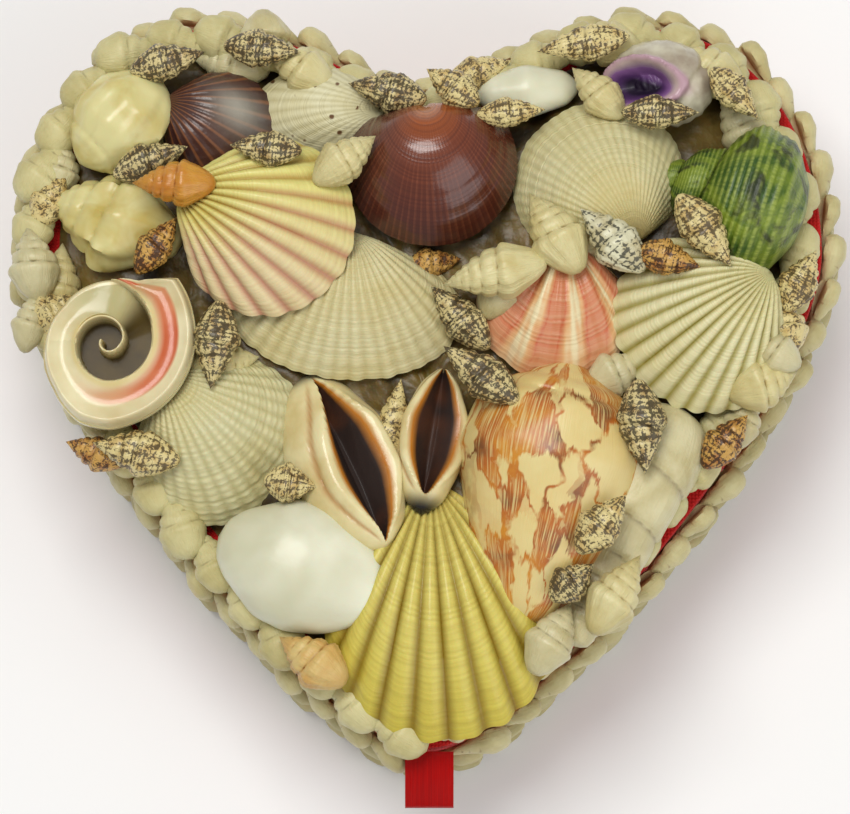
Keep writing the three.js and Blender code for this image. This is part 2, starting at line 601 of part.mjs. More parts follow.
// Each large shell keeps what the shells above it, the row round the lid and the lid's board leave it
const laid = [lidTopRow];
const rowClearance = {
  ...topRow,
  waist: 0,
  foot: LID_TOP,
  width: TOP_SHELL_WIDTH + 2 * TRIM_MARGIN,
  depth: TOP_SHELL_HEIGHT + 2 * GAP,
};
const cutters = [shellRow(rowClearance)];
for (const shell of LARGE_SHELLS) {
  const placed = placement(shell);
  const form = shell.make(shell);
  let solid = moved(form, placed);
  for (const cutter of cutters) {
    if (overlaps(solid.boundingBox(), cutter.boundingBox())) solid = solid.subtract(cutter);
  }
  solid = largest(solid.trimByPlane([0, 0, 1], LID_TOP + GAP));
  laid.push(solid);
  cutters.push(clearance(form, placed));
  addPiece(shell.name, shell.colour, solid, placed);
}

// The height at which a shell comes to rest: it sinks in small steps until it almost touches something
function restingHeight(solid, below) {
  const clear = (height) => {
    const there = solid.translate([0, 0, height]);
    return below.every((other) => there.minGap(other, 2 * GAP) >= GAP);
  };
  const lowest = LID_TOP + GAP - solid.boundingBox().min[2];
  let height = lowest + HALF_LENGTH / 2;
  const step = 1;
  while (height - step > lowest && clear(height - step)) height -= step;
  let [low, high] = [Math.max(lowest, height - step), height];
  for (let i = 0; i < 5; i++) {
    const middle = (low + high) / 2;
    if (clear(middle)) high = middle;
    else low = middle;
  }
  return high;
}

for (const shell of SMALL_SHELLS) {
  const placed = placement(shell);
  const height = shell.width * SMALL_FLATNESS;
  const solid = moved(turned({ profile: SPINDLE, sides: SPINDLE_SIDES, ...shell, height }), placed);
  const footprint = solid.boundingBox();
  footprint.min[2] = 0;
  footprint.max[2] = LID_TOP + HALF_LENGTH;
  const below = laid.filter((other) => overlaps(footprint, other.boundingBox()));
  const lift = restingHeight(solid, below);
  const settled = solid.translate([0, 0, lift]);
  laid.push(settled);
  placed.premultiply(new THREE.Matrix4().makeTranslation(0, 0, lift));
  addPiece(shell.name, shell.colour || 'speckled', settled, placed);
}

export default box;
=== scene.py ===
"""A heart-shaped keepsake box in red cloth, with rows of small shells round it and a mound of sea shells on
its lid. Lengths are in millimetres while a piece is shaped, and become metres when it is set in its place."""

import math

import bpy
import numpy as np
from mathutils import Matrix, Vector
from mathutils.bvhtree import BVHTree


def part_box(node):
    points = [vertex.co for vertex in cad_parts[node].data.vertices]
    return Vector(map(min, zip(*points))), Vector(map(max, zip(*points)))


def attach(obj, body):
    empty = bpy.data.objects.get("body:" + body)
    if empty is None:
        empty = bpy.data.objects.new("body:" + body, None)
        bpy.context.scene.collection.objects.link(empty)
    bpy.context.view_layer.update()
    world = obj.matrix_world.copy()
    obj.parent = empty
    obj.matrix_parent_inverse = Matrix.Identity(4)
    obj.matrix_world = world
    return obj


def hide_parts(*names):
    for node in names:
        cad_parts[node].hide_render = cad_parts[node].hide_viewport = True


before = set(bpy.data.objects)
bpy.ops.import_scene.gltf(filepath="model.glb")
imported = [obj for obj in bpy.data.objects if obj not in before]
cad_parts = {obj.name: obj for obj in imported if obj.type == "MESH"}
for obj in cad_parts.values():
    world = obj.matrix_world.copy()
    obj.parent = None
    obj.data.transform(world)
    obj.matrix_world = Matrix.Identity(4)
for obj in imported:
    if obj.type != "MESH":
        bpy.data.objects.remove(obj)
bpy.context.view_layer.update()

MM = 0.001
TURN = 2 * math.pi
DEGREE = math.pi / 180

# The heart at the cloth-covered edge of the lid, and the heights of the boards
HALF_WIDTH = 74.5
LOBE_TOP = 70.3
TIP_REACH = 66.2
CLEFT_DEPTH = 13.5
HALF_LENGTH = (LOBE_TOP + TIP_REACH) / 2
WALL = 3.0
BASE_HEIGHT = 32.0
LID_FOOT = 32.3
LID_TOP = 41.3
LID_BOARD = 3.0
RIM_OUTSIDE = -3.8
RIM_INSIDE = -5.8
RIM_DEPTH = 4.0
HEART_POINTS = 240
EDGE_STEPS = 4
ON_ROW = 7.6

# Rows of small shells: the distance between shells, and how far the rows stand in or out from the edge
TOP_PITCH = 9.2
TOP_INSET = 3.6
TOP_SHIFT = -2.2
SIDE_PITCH = 8.1
BASE_PITCH = 9
SIDE_OUTWARDS = 1.65
RIBBON_SLOT = 10.5

# How deep a shell is pressed in: the share of its underside that is sunk
LIGHTLY = 0.12
DEEPLY = 0.75

# Where the photographer stood, in metres and degrees
CAMERA_TARGET = (-0.0004, -0.0023, 0.042)
CAMERA_ELEVATION = 82.5
CAMERA_DISTANCE = 0.75
CAMERA_LENS = 169.6


# Working with meshes

def alone():
    """Nothing is left selected, so the next operator acts on its own piece only."""
    bpy.ops.object.select_all(action="DESELECT")


def take(piece):
    alone()
    piece.select_set(True)
    bpy.context.view_layer.objects.active = piece


def points_of(piece):
    co = np.empty(len(piece.data.vertices) * 3)
    piece.data.vertices.foreach_get("co", co)
    return co.reshape(-1, 3)


def move_points(piece, co):
    piece.data.vertices.foreach_set("co", np.ascontiguousarray(co, dtype=float).ravel())
    piece.data.update()


def named(name):
    piece = bpy.context.object
    piece.name = name
    piece.data.name = name
    return piece


def flat_grid(name, across, along):
    """A grid of faces. Gives the piece and each point's share across (-1 to 1) and along (0 to 1)."""
    alone()
    bpy.ops.mesh.primitive_grid_add(x_subdivisions=across, y_subdivisions=along, size=2)
    piece = named(name)
    co = points_of(piece)
    return piece, co[:, 0].copy(), (co[:, 1] + 1) / 2


def globe(name, around, along):
    """A closed ball. Gives the piece, and each point's turn round its axis and share from end to end."""
    alone()
    bpy.ops.mesh.primitive_uv_sphere_add(segments=around, ring_count=along, radius=1)
    piece = named(name)
    co = points_of(piece)
    turn = np.arctan2(co[:, 1], co[:, 0])
    share = np.arccos(np.clip(co[:, 2], -1, 1)) / math.pi
    return piece, turn, share


def mark(piece, name, values):
    """A value at each point, which the piece's finish reads."""
    layer = piece.data.attributes.new(name, "FLOAT", "POINT")
    layer.data.foreach_set("value", np.ascontiguousarray(values, dtype=np.float32))


def close_up(piece, turn_out=True):
    """Points that came together are merged, and a closed form's faces are turned outwards."""
    take(piece)
    bpy.ops.object.mode_set(mode="EDIT")
    bpy.ops.mesh.select_all(action="SELECT")
    bpy.ops.mesh.remove_doubles(threshold=0.002)
    if turn_out:
        bpy.ops.mesh.normals_make_consistent(inside=False)
    bpy.ops.object.mode_set(mode="OBJECT")


def thicken(piece, wall):
    """Gives a sheet its wall, on the side that its faces turn away from."""
    take(piece)
    solid = piece.modifiers.new("wall", "SOLIDIFY")
    solid.thickness = wall
    solid.offset = -1
    bpy.ops.object.modifier_apply(modifier=solid.name)


def smooth(piece, angle=50):
    take(piece)
    bpy.ops.object.shade_smooth_by_angle(angle=angle * DEGREE)


def settle(piece, place, finish, node=None, angle=50):
    """Sets the piece in its place in metres, gives it its finish, and hides the CAD node that it stands for.
    """
    piece.data.transform(Matrix.Scale(MM, 4) @ place)
    piece.data.update()
    smooth(piece, angle)
    piece.data.materials.clear()
    piece.data.materials.append(finish)
    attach(piece, "root")
    if node:
        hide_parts(node)
    return piece


def place_on_lid(across, along, rise, heading, pitch=0, roll=0):
    """The place of a shell on the lid. Its beak or middle is at shares of the heart's half width and length,
    and its length points along the heading, in degrees from +X."""
    turn = (
        Matrix.Rotation((heading - 90) * DEGREE, 4, "Z")
        @ Matrix.Rotation(pitch * DEGREE, 4, "X")
        @ Matrix.Rotation(roll * DEGREE, 4, "Y")
    )
    return Matrix.Translation((across * HALF_WIDTH, along * HALF_LENGTH, LID_TOP + rise)) @ turn


def place_of_node(node, heading, roll=0):
    """The place of a small shell: the middle of its CAD node."""
    low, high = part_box(node)
    middle = (low + high) / 2 / MM
    turn = Matrix.Rotation((heading - 90) * DEGREE, 4, "Z") @ Matrix.Rotation(roll * DEGREE, 4, "Y")
    return Matrix.Translation(middle) @ turn


def tops_of(pieces):
    """The upper surfaces of pieces already in their places, for other pieces to be set down on."""
    corners, faces, first = [], [], 0
    for piece in pieces:
        corners.append(points_of(piece))
        faces += [[first + k for k in face.vertices] for face in piece.data.polygons]
        first += len(corners[-1])
    return BVHTree.FromPolygons(np.vstack(corners).tolist(), faces)


def set_down(piece, tops, sunk=LIGHTLY):
    """Lowers or lifts a piece until it sits on what lies under it, with a share of its underside sunk."""
    co = points_of(piece)
    middle = co.mean(axis=0)
    low = co[co[:, 2] < middle[2]]
    gaps = []
    for x, y, z in low[:: max(1, len(low) // 400)].tolist():
        hit = tops.ray_cast(Vector((x, y, 0.2)), Vector((0, 0, -1)))[0]
        if hit is not None:
            gaps.append(z - hit.z)
    co[:, 2] -= np.quantile(gaps, sunk) if gaps else 0
    move_points(piece, co)


def wobble(a, b, seed):
    """Soft, even unevenness between -1 and 1 from a few crossing waves."""
    total = np.zeros_like(np.asarray(a, dtype=float))
    for k in range(5):
        fa, fb = 1 + 1.7 * ((seed * 3 + k * 5) % 7), 1 + 1.3 * ((seed * 5 + k * 3) % 5)
        total += np.sin(fa * a + fb * b + seed * 1.9 + k * 2.4) / (1 + 0.6 * k)
    return total / 2.4


def ease(x, low, high):
    """0 below low, 1 above high, and smooth between."""
    t = np.clip((x - low) / (high - low), 0, 1)
    return t * t * (3 - 2 * t)


# Finishes

# How much light a shell throws back straight
GLEAM = 0.34

# Violet keeps its hue with age.
VIOLET = (0.85, 0.8, 0.95)

# Age has yellowed every shell: each colour is picked as when new, and multiplied by this.
AGED = (0.9, 0.895, 0.72)


def rgb(red, green, blue, tint=AGED):
    """A colour of 0 to 255 as Blender's linear colour."""
    def linear(c):
        c /= 255
        return c / 12.92 if c <= 0.04045 else ((c + 0.055) / 1.055) ** 2.4
    return (linear(red) * tint[0], linear(green) * tint[1], linear(blue) * tint[2], 1.0)


class Nodes:
    """Short ways to add and join nodes in a material or a node group."""

    def __init__(self, tree):
        self.tree = tree

    def feed(self, socket, source):
        if source is None:
            return
        if isinstance(source, bpy.types.NodeSocket):
            self.tree.links.new(source, socket)
        else:
            socket.default_value = source

    def add(self, kind, inputs=None, **settings):
        node = self.tree.nodes.new(kind)
        for key, value in settings.items():
            setattr(node, key, value)
        for key, source in (inputs or {}).items():
            self.feed(node.inputs[key], source)
        return node

    def math(self, operation, a, b=None, clamp=False):
        inputs = {0: a} if b is None else {0: a, 1: b}
        return self.add("ShaderNodeMath", inputs, operation=operation, use_clamp=clamp).outputs[0]

    def mix(self, share, a, b, blend="MIX"):
        node = self.add("ShaderNodeMix", data_type="RGBA", blend_type=blend)
        self.feed(node.inputs[0], share)
        self.feed(node.inputs[6], a)
        self.feed(node.inputs[7], b)
        return node.outputs[2]

    def ramp(self, source, *stops):
        """A ramp of (place, value or colour) stops."""
        node = self.add("ShaderNodeValToRGB", {0: source})
        steps = node.color_ramp.elements
        while len(steps) < len(stops):
            steps.new(0.5)
        for step, (at, colour) in zip(steps, stops):
            step.position = at
            step.color = colour if isinstance(colour, tuple) else (colour, colour, colour, 1)
        return node.outputs[0]

    def place(self):
        return self.add("ShaderNodeTexCoord").outputs["Object"]

    def unwrapped(self):
        return self.add("ShaderNodeTexCoord").outputs["UV"]

    def mark(self, name):
        return self.add("ShaderNodeAttribute", attribute_name=name).outputs["Fac"]

    def stretch(self, vector, scale):
        return self.add("ShaderNodeMapping", {"Vector": vector, "Scale": scale}).outputs[0]

    def noise(self, vector, scale, detail=3.0, distortion=0.0):
        inputs = {"Vector": vector, "Scale": scale, "Detail": detail, "Distortion": distortion}
        return self.add("ShaderNodeTexNoise", inputs).outputs["Fac"]

    def cells(self, vector, scale):
        """The distance to the middle of the nearest of many cells."""
        return self.add("ShaderNodeTexVoronoi", {"Vector": vector, "Scale": scale}).outputs["Distance"]

    def group(self, tree, **inputs):
        node = self.add("ShaderNodeGroup", node_tree=tree)
        for key, source in inputs.items():
            self.feed(node.inputs[key], source)
        return node.outputs


class Finish(Nodes):
    """A material with one Principled shader. Its plain values are set on the shader's own sockets."""

    def __init__(self, name, roughness=0.4, **values):
        self.material = bpy.data.materials.new(name)
        self.material.use_nodes = True
        super().__init__(self.material.node_tree)
        self.shader = self.tree.nodes["Principled BSDF"]
        self.shader.inputs["Roughness"].default_value = roughness
        self.shader.inputs["Specular IOR Level"].default_value = GLEAM
        for key, value in values.items():
            self.shader.inputs[key.replace("_", " ")].default_value = value

    def done(self, colour, height=None, depth=0.0002, roughness=None):
        self.feed(self.shader.inputs["Base Color"], colour)
        self.feed(self.shader.inputs["Roughness"], roughness)
        if height is not None:
            bump = self.add("ShaderNodeBump", {"Height": height, "Distance": depth, "Strength": 1.0})
            self.feed(self.shader.inputs["Normal"], bump.outputs[0])
        return self.material


def new_group(name, takes, gives):
    """A node group with named inputs (name, kind, value) and outputs (name, kind)."""
    tree = bpy.data.node_groups.new(name, "ShaderNodeTree")
    for label, kind, value in takes:
        socket = tree.interface.new_socket(label, in_out="INPUT", socket_type=kind)
        if value is not None:
            socket.default_value = value
    for label, kind in gives:
        tree.interface.new_socket(label, in_out="OUTPUT", socket_type=kind)
    nodes = Nodes(tree)
    source = nodes.add("NodeGroupInput").outputs
    sink = nodes.add("NodeGroupOutput").inputs
    return tree, nodes, source, sink


NUMBER, COLOUR, VECTOR = "NodeSocketFloat", "NodeSocketColor", "NodeSocketVector"


def make_stain_and_hollow_shade():
    """Age and glue stain a shell with a soft warm mottle over it all. Where it is hollow it takes the hollow
    colour, which is partly the shell's own colour and partly painted shade.
    """
    takes = [("Colour", COLOUR, None), ("Ridge", NUMBER, 1.0), ("Hollow colour", COLOUR, None),
             ("Mottle", NUMBER, 0.3)]
    tree, n, source, sink = new_group("stain_and_hollow_shade", takes, [("Colour", COLOUR)])
    place = n.place()
    soft = n.ramp(n.noise(place, 90, 4), (0.35, 0.0), (0.7, 1.0))
    fine = n.noise(place, 900, 3)
    blotched = n.math("MULTIPLY", n.math("ADD", soft, fine), source["Mottle"])
    # Painted shade, with the hollow's own colour: the less ridge, the more of the hollow colour.
    hollow = n.math("SUBTRACT", 1.0, source["Ridge"], clamp=True)
    base = n.mix(hollow, source["Colour"], source["Hollow colour"])
    warm = n.mix(1.0, base, rgb(232, 214, 160), "MULTIPLY")
    n.feed(sink["Colour"], n.mix(blotched, base, warm))
    return tree


def make_growth():
    """Growth lines: a share along the shell becomes uneven fine lines, as a mask and as a height."""
    takes = [("Along", NUMBER, 0.0), ("Lines", NUMBER, 60.0), ("Waviness", NUMBER, 0.4)]
    tree, n, source, sink = new_group("growth_lines", takes, [("Mask", NUMBER), ("Height", NUMBER)])
    bend = n.math("MULTIPLY", n.noise(n.place(), 160, 2), source["Waviness"])
    at = n.math("ADD", n.math("MULTIPLY", source["Along"], source["Lines"]), bend)
    spread = n.add("ShaderNodeCombineXYZ", {0: at}).outputs[0]
    lines = n.noise(spread, 1.0, 3)
    n.feed(sink["Mask"], n.ramp(lines, (0.4, 0.0), (0.62, 1.0)))
    n.feed(sink["Height"], lines)
    return tree


def make_speckle():
    """Irregular dark spots and dashes. Amount says how much of the surface they cover."""
    takes = [("Size", NUMBER, 900.0), ("Amount", NUMBER, 0.5), ("Bead", NUMBER, 0.5)]
    tree, n, source, sink = new_group("speckle", takes, [("Spots", NUMBER), ("Patches", NUMBER)])
    place = n.place()
    fine = n.noise(place, source["Size"], 3, 1.2)
    broad = n.noise(place, n.math("MULTIPLY", source["Size"], 0.3), 2)
    both = n.math("ADD", fine, n.math("MULTIPLY", n.math("SUBTRACT", broad, 0.5), 0.5))
    level = n.math("SUBTRACT", both, n.math("SUBTRACT", 0.64, n.math("MULTIPLY", source["Amount"], 0.22)))
    between = n.math("MULTIPLY", n.math("SUBTRACT", 0.5, source["Bead"]), 0.34)
    n.feed(sink["Spots"], n.math("MULTIPLY", n.math("ADD", level, between), 11.0, clamp=True))
    n.feed(sink["Patches"], n.ramp(broad, (0.45, 0.0), (0.6, 1.0)))
    return tree


def make_grain():
    """The fine grain of a dull shell or glue surface."""
    takes = [("Size", NUMBER, 1500.0)]
    tree, n, source, sink = new_group("grain", takes, [("Height", NUMBER)])
    place = n.place()
    n.feed(sink["Height"], n.math("ADD", n.noise(place, source["Size"], 4), n.noise(place, 260, 2)))
    return tree


def make_weave():
    """Over-and-under threads, from a place and the number of threads in a metre."""
    takes = [("Vector", VECTOR, None), ("Threads", NUMBER, 2400.0)]
    tree, n, source, sink = new_group("weave", takes, [("Height", NUMBER)])
    apart = n.add("ShaderNodeSeparateXYZ", {0: source["Vector"]}).outputs
    waves = []
    for axis in (0, 1, 2):
        turned = n.math("MULTIPLY", apart[axis], n.math("MULTIPLY", source["Threads"], math.pi))
        waves.append(n.math("ABSOLUTE", n.math("SINE", turned)))
    n.feed(sink["Height"], n.math("ADD", n.math("MULTIPLY", waves[0], waves[1]), waves[2]))
    return tree


stain_and_hollow_shade = make_stain_and_hollow_shade()
growth = make_growth()
speckle = make_speckle()
grain = make_grain()
weave = make_weave()


def ribbed_finish(name, crest, hollow, beak, roughness=0.42, coat=0.15, mottle=0.35, lines=70, far=None):
    """A ribbed valve: one colour on the ribs, one between them, others at the beak and the far edge. The
    darker colour between the ribs is partly the shell's own and partly painted shade.
    """
    f = Finish(name, roughness, Coat_Weight=coat, Coat_Roughness=0.25, Subsurface_Weight=0.08,
               Subsurface_Scale=0.002)
    along = f.mark("along")
    ridge = f.mark("ridge")
    near = f.ramp(along, (0.05, 1.0), (0.55, 0.0))
    crests = f.mix(near, crest, beak)
    if far:
        crests = f.mix(f.ramp(along, (0.62, 0.0), (1.0, 1.0)), crests, far)
    stained = f.group(stain_and_hollow_shade, Colour=crests, Ridge=ridge, **{"Hollow colour": f.mix(near, hollow, beak)},
                      Mottle=mottle)["Colour"]
    steps = f.group(growth, Along=along, Lines=float(lines), Waviness=1.2)
    colour = f.mix(f.math("MULTIPLY", steps["Mask"], 0.22), stained, hollow)
    height = f.math("ADD", steps["Height"], f.math("MULTIPLY", f.group(grain)["Height"], 0.3))
    return f.done(colour, height, 0.00025)


def glossy_finish(name, light, dark, roughness=0.14, coat=0.6, spread=70):
    """A smooth, polished shell with soft clouds of a second colour."""
    f = Finish(name, roughness, Coat_Weight=coat, Coat_Roughness=0.24, Subsurface_Weight=0.12,
               Subsurface_Scale=0.003)
    clouds = f.ramp(f.noise(f.place(), spread, 3, 0.6), (0.38, 0.0), (0.68, 1.0))
    colour = f.mix(clouds, light, dark)
    return f.done(colour, f.noise(f.place(), 420, 2), 0.00008)


def dull_finish(name, light, dark, seam, roughness=0.5, coat=0.05):
    """An unpolished spiral shell: two tones, with the seam colour as painted shade in the grooves between its
    whorls and inside its mouth.
    """
    f = Finish(name, roughness, Coat_Weight=coat, Coat_Roughness=0.3, Subsurface_Weight=0.06,
               Subsurface_Scale=0.002)
    clouds = f.ramp(f.noise(f.place(), 130, 4, 0.8), (0.36, 0.0), (0.7, 1.0))
    body = f.mix(clouds, light, dark)
    # Painted shade: the seam colour darkens the grooves between the whorls and the inside of the mouth.
    groove_shade = f.ramp(f.mark("ridge"), (0.05, 1.0), (0.5, 0.0))
    body = f.mix(f.math("MULTIPLY", groove_shade, 0.75), body, seam)
    inside = f.mix(f.mark("mouth"), body, seam)
    colour = f.group(stain_and_hollow_shade, Colour=inside, Ridge=1.0, Mottle=0.25)["Colour"]
    lines = f.noise(f.stretch(f.unwrapped(), (46, 3, 1)), 2.0, 3)
    height = f.math("ADD", lines, f.math("MULTIPLY", f.group(grain)["Height"], 0.5))
    return f.done(colour, height, 0.0002)


def speckled_finish(name, ground, patch, spot, amount, size=1500.0):
    """A dove shell: a pale ground, tan patches, near-black spots mostly between its beads, and painted shade
    in the seams between its whorls.
    """
    f = Finish(name, 0.36, Coat_Weight=0.25, Coat_Roughness=0.2)
    marks = f.group(speckle, Size=size, Amount=amount, Bead=f.mark("bead"))
    body = f.mix(f.math("MULTIPLY", marks["Patches"], 0.7), ground, patch)
    # Painted shade: the seams between the whorls are darkened towards the spot colour.
    body = f.mix(f.ramp(f.mark("ridge"), (0.05, 0.6), (0.5, 0.0)), body, spot)
    colour = f.mix(f.math("MULTIPLY", marks["Spots"], 0.86), body, spot)
    return f.done(colour, f.group(grain, Size=1200.0)["Height"], 0.0003)


def make_cloth():
    f = Finish("red_cloth", 0.7, Sheen_Weight=0.08, Specular_IOR_Level=0.25)
    cloud = f.ramp(f.noise(f.place(), 60, 3), (0.35, 0.0), (0.7, 1.0))
    height = f.group(weave, Vector=f.place(), Threads=1500.0)["Height"]
    # Painted highlight: the raised thread tops are mixed towards a lighter red.
    thread = f.ramp(height, (0.1, 0.0), (0.9, 1.0))
    body = f.mix(cloud, rgb(206, 14, 14), rgb(178, 8, 12))
    colour = f.mix(f.math("MULTIPLY", thread, 0.25), body, rgb(222, 40, 34))
    return f.done(colour, height, 0.0002)


def make_satin():
    f = Finish("red_satin_ribbon", 0.26, Anisotropic=0.5, Coat_Weight=0.04, Coat_Roughness=0.2,
               Specular_IOR_Level=0.15)
    across = f.add("ShaderNodeSeparateXYZ", {0: f.unwrapped()}).outputs[0]
    threads = f.math("SINE", f.math("MULTIPLY", across, 260.0))
    # Painted sheen: lengthwise streaks of lighter and darker red in the colour.
    streak = f.noise(f.stretch(f.unwrapped(), (40, 1.2, 1)), 1.0, 3)
    colour = f.mix(f.ramp(streak, (0.35, 0.0), (0.7, 1.0)), rgb(186, 2, 4), rgb(214, 12, 10))
    return f.done(colour, f.math("ADD", threads, streak), 0.00006)


def make_glue_and_gap_shade():
    f = Finish("dried_glue_and_gap_shade", 0.42, Coat_Weight=0.12, Coat_Roughness=0.2, Subsurface_Weight=0.35,
               Subsurface_Scale=0.004)
    cloud = f.ramp(f.noise(f.place(), 110, 4, 0.5), (0.35, 0.0), (0.68, 1.0))
    # The glue's browns are its own colour made darker as painted shade for the gaps between shells.
    colour = f.mix(cloud, rgb(126, 104, 54), rgb(52, 38, 18))
    return f.done(colour, f.noise(f.place(), 240, 3), 0.0008)


def make_brown_cockle():
    """Orange at the beak, red-brown, then dark purple-brown, and greyish on one side."""
    f = Finish("brown_cockle", 0.24, Coat_Weight=0.6, Coat_Roughness=0.14)
    along, across = f.mark("along"), f.mark("across")
    body = f.ramp(along, (0.0, rgb(214, 130, 48)), (0.2, rgb(172, 88, 38)), (0.42, rgb(122, 58, 36)),
                  (0.8, rgb(90, 40, 30)), (1.0, rgb(70, 34, 28)))
    grey = f.math("MULTIPLY", f.ramp(across, (0.62, 0.0), (1.0, 1.0)), 0.6)
    body = f.mix(grey, body, rgb(104, 84, 82))
    rays = f.ramp(f.mark("rays"), (0.35, 0.0), (0.9, 1.0))
    body = f.mix(f.math("MULTIPLY", rays, 0.38), body, rgb(172, 98, 72))
    steps = f.group(growth, Along=along, Lines=46.0, Waviness=0.8)
    colour = f.mix(f.math("MULTIPLY", steps["Mask"], 0.45), body, rgb(70, 26, 22))
    height = f.math("ADD", steps["Height"], f.math("MULTIPLY", f.mark("rays"), 0.3))
    return f.done(colour, height, 0.00012)


def make_pink_scallop():
    """Yellow ribs on the upper side and at the beak, cream ribs with mauve grooves lower down."""
    f = Finish("pink_and_yellow_scallop", 0.38, Coat_Weight=0.2, Coat_Roughness=0.25, Subsurface_Weight=0.08,
               Subsurface_Scale=0.002)
    along, across = f.mark("along"), f.mark("across")
    low = f.math("MULTIPLY", f.ramp(across, (0.3, 0.0), (0.62, 1.0)), f.ramp(along, (0.25, 0.0), (0.6, 1.0)))
    crest = f.mix(low, rgb(236, 230, 158), rgb(236, 220, 190))
    hollow = f.mix(low, rgb(190, 160, 80), rgb(184, 118, 116))
    beyond = f.ramp(along, (0.4, 0.0), (0.6, 1.0))
    middle = f.math("MULTIPLY", f.ramp(across, (0.25, 0.0), (0.4, 1.0)), beyond)
    hollow = f.mix(f.math("MULTIPLY", middle, 0.6), hollow, rgb(196, 138, 120))
    stained = f.group(stain_and_hollow_shade, Colour=crest, Ridge=f.mark("ridge"), Mottle=0.2, **{"Hollow colour": hollow})
    steps = f.group(growth, Along=along, Lines=60.0, Waviness=1.2)
    colour = f.mix(f.math("MULTIPLY", steps["Mask"], 0.15), stained["Colour"], hollow)
    return f.done(colour, steps["Height"], 0.0002)


def make_striped_scallop():
    """Broad wavy rays of coral pink, salmon and white."""
    f = Finish("coral_striped_scallop", 0.36, Coat_Weight=0.25, Coat_Roughness=0.2)
    along = f.mark("along")
    wave = f.math("ADD", f.mark("rays"), f.math("MULTIPLY", f.noise(f.place(), 220, 3), 0.5))
    body = f.ramp(wave, (0.42, rgb(240, 226, 200)), (0.62, rgb(230, 176, 132)), (0.9, rgb(204, 100, 66)),
                  (1.2, rgb(212, 128, 98)))
    body = f.mix(f.ramp(along, (0.82, 0.0), (1.0, 0.7)), body, rgb(222, 176, 140))
    steps = f.group(growth, Along=along, Lines=36.0, Waviness=1.6)
    colour = f.mix(f.math("MULTIPLY", steps["Mask"], 0.2), body, rgb(240, 222, 196))
    return f.done(colour, steps["Height"], 0.0003)


def make_dark_scallop():
    """Purple-brown, with thin orange-brown rays on its ribs and a worn grey-white patch."""
    f = Finish("dark_brown_scallop", 0.34, Coat_Weight=0.3, Coat_Roughness=0.2)
    ridge = f.ramp(f.mark("ridge"), (0.75, 0.0), (1.0, 1.0))
    cloud = f.noise(f.place(), 140, 3)
    body = f.mix(f.ramp(cloud, (0.4, 0.0), (0.65, 1.0)), rgb(84, 52, 48), rgb(62, 34, 36))
    body = f.mix(f.math("MULTIPLY", ridge, 0.5), body, rgb(172, 108, 68))
    worn = f.math("MULTIPLY", f.mark("worn"), 0.75)
    return f.done(f.mix(worn, body, rgb(190, 186, 188)), f.noise(f.place(), 700, 3), 0.0002)


def make_map_finish():
    """Cream with orange-brown tent marks: cell edges and some filled cells, streaked along the shell."""
    f = Finish("map_volute", 0.34, Coat_Weight=0.22, Coat_Roughness=0.2, Subsurface_Weight=0.08,
               Subsurface_Scale=0.003)
    along, side = f.mark("tent_along"), f.mark("tent_side")
    flat = f.add("ShaderNodeCombineXYZ", {0: side, 1: along}).outputs[0]
    streaks = f.noise(f.stretch(flat, (2.6, 0.13, 1)), 1.0, 4)
    fringe = f.math("MULTIPLY", f.math("SUBTRACT", streaks, 0.5), 3.2)
    broad = f.math("MULTIPLY", f.math("SUBTRACT", f.noise(flat, 0.16, 2), 0.5), 9.0)
    slanted = f.math("ADD", f.math("MULTIPLY", side, 0.55), f.math("ADD", along, fringe))
    tents = f.add("ShaderNodeCombineXYZ", {0: f.math("ADD", side, broad), 1: slanted}).outputs[0]
    cell = {"Vector": f.stretch(tents, (1.25, 0.8, 1)), "Scale": 0.115}
    near = f.add("ShaderNodeTexVoronoi", cell, feature="F1", distance="MANHATTAN").outputs
    next_near = f.add("ShaderNodeTexVoronoi", cell, feature="F2", distance="MANHATTAN").outputs["Distance"]
    edge = f.math("SUBTRACT", next_near, near["Distance"])
    lines = f.ramp(edge, (0.05, 1.0), (0.17, 0.0))
    which = f.add("ShaderNodeSeparateXYZ", {0: near["Color"]}).outputs[0]
    filled = f.math("MULTIPLY", f.math("LESS_THAN", which, 0.34), f.ramp(streaks, (0.38, 0.25), (0.54, 1.0)))
    broken = f.ramp(f.noise(flat, 0.3, 3), (0.36, 0.15), (0.5, 1.0))
    marks = f.math("MAXIMUM", f.math("MULTIPLY", lines, broken), filled)
    ground = f.mix(f.noise(f.place(), 150, 3), rgb(238, 224, 178), rgb(224, 192, 128))
    tone = f.ramp(f.noise(f.place(), 120, 4), (0.36, rgb(212, 136, 20)), (0.52, rgb(188, 94, 6)),
                  (0.66, rgb(106, 46, 14)))
    return f.done(f.mix(f.math("MULTIPLY", marks, 0.92), ground, tone), streaks, 0.00008)


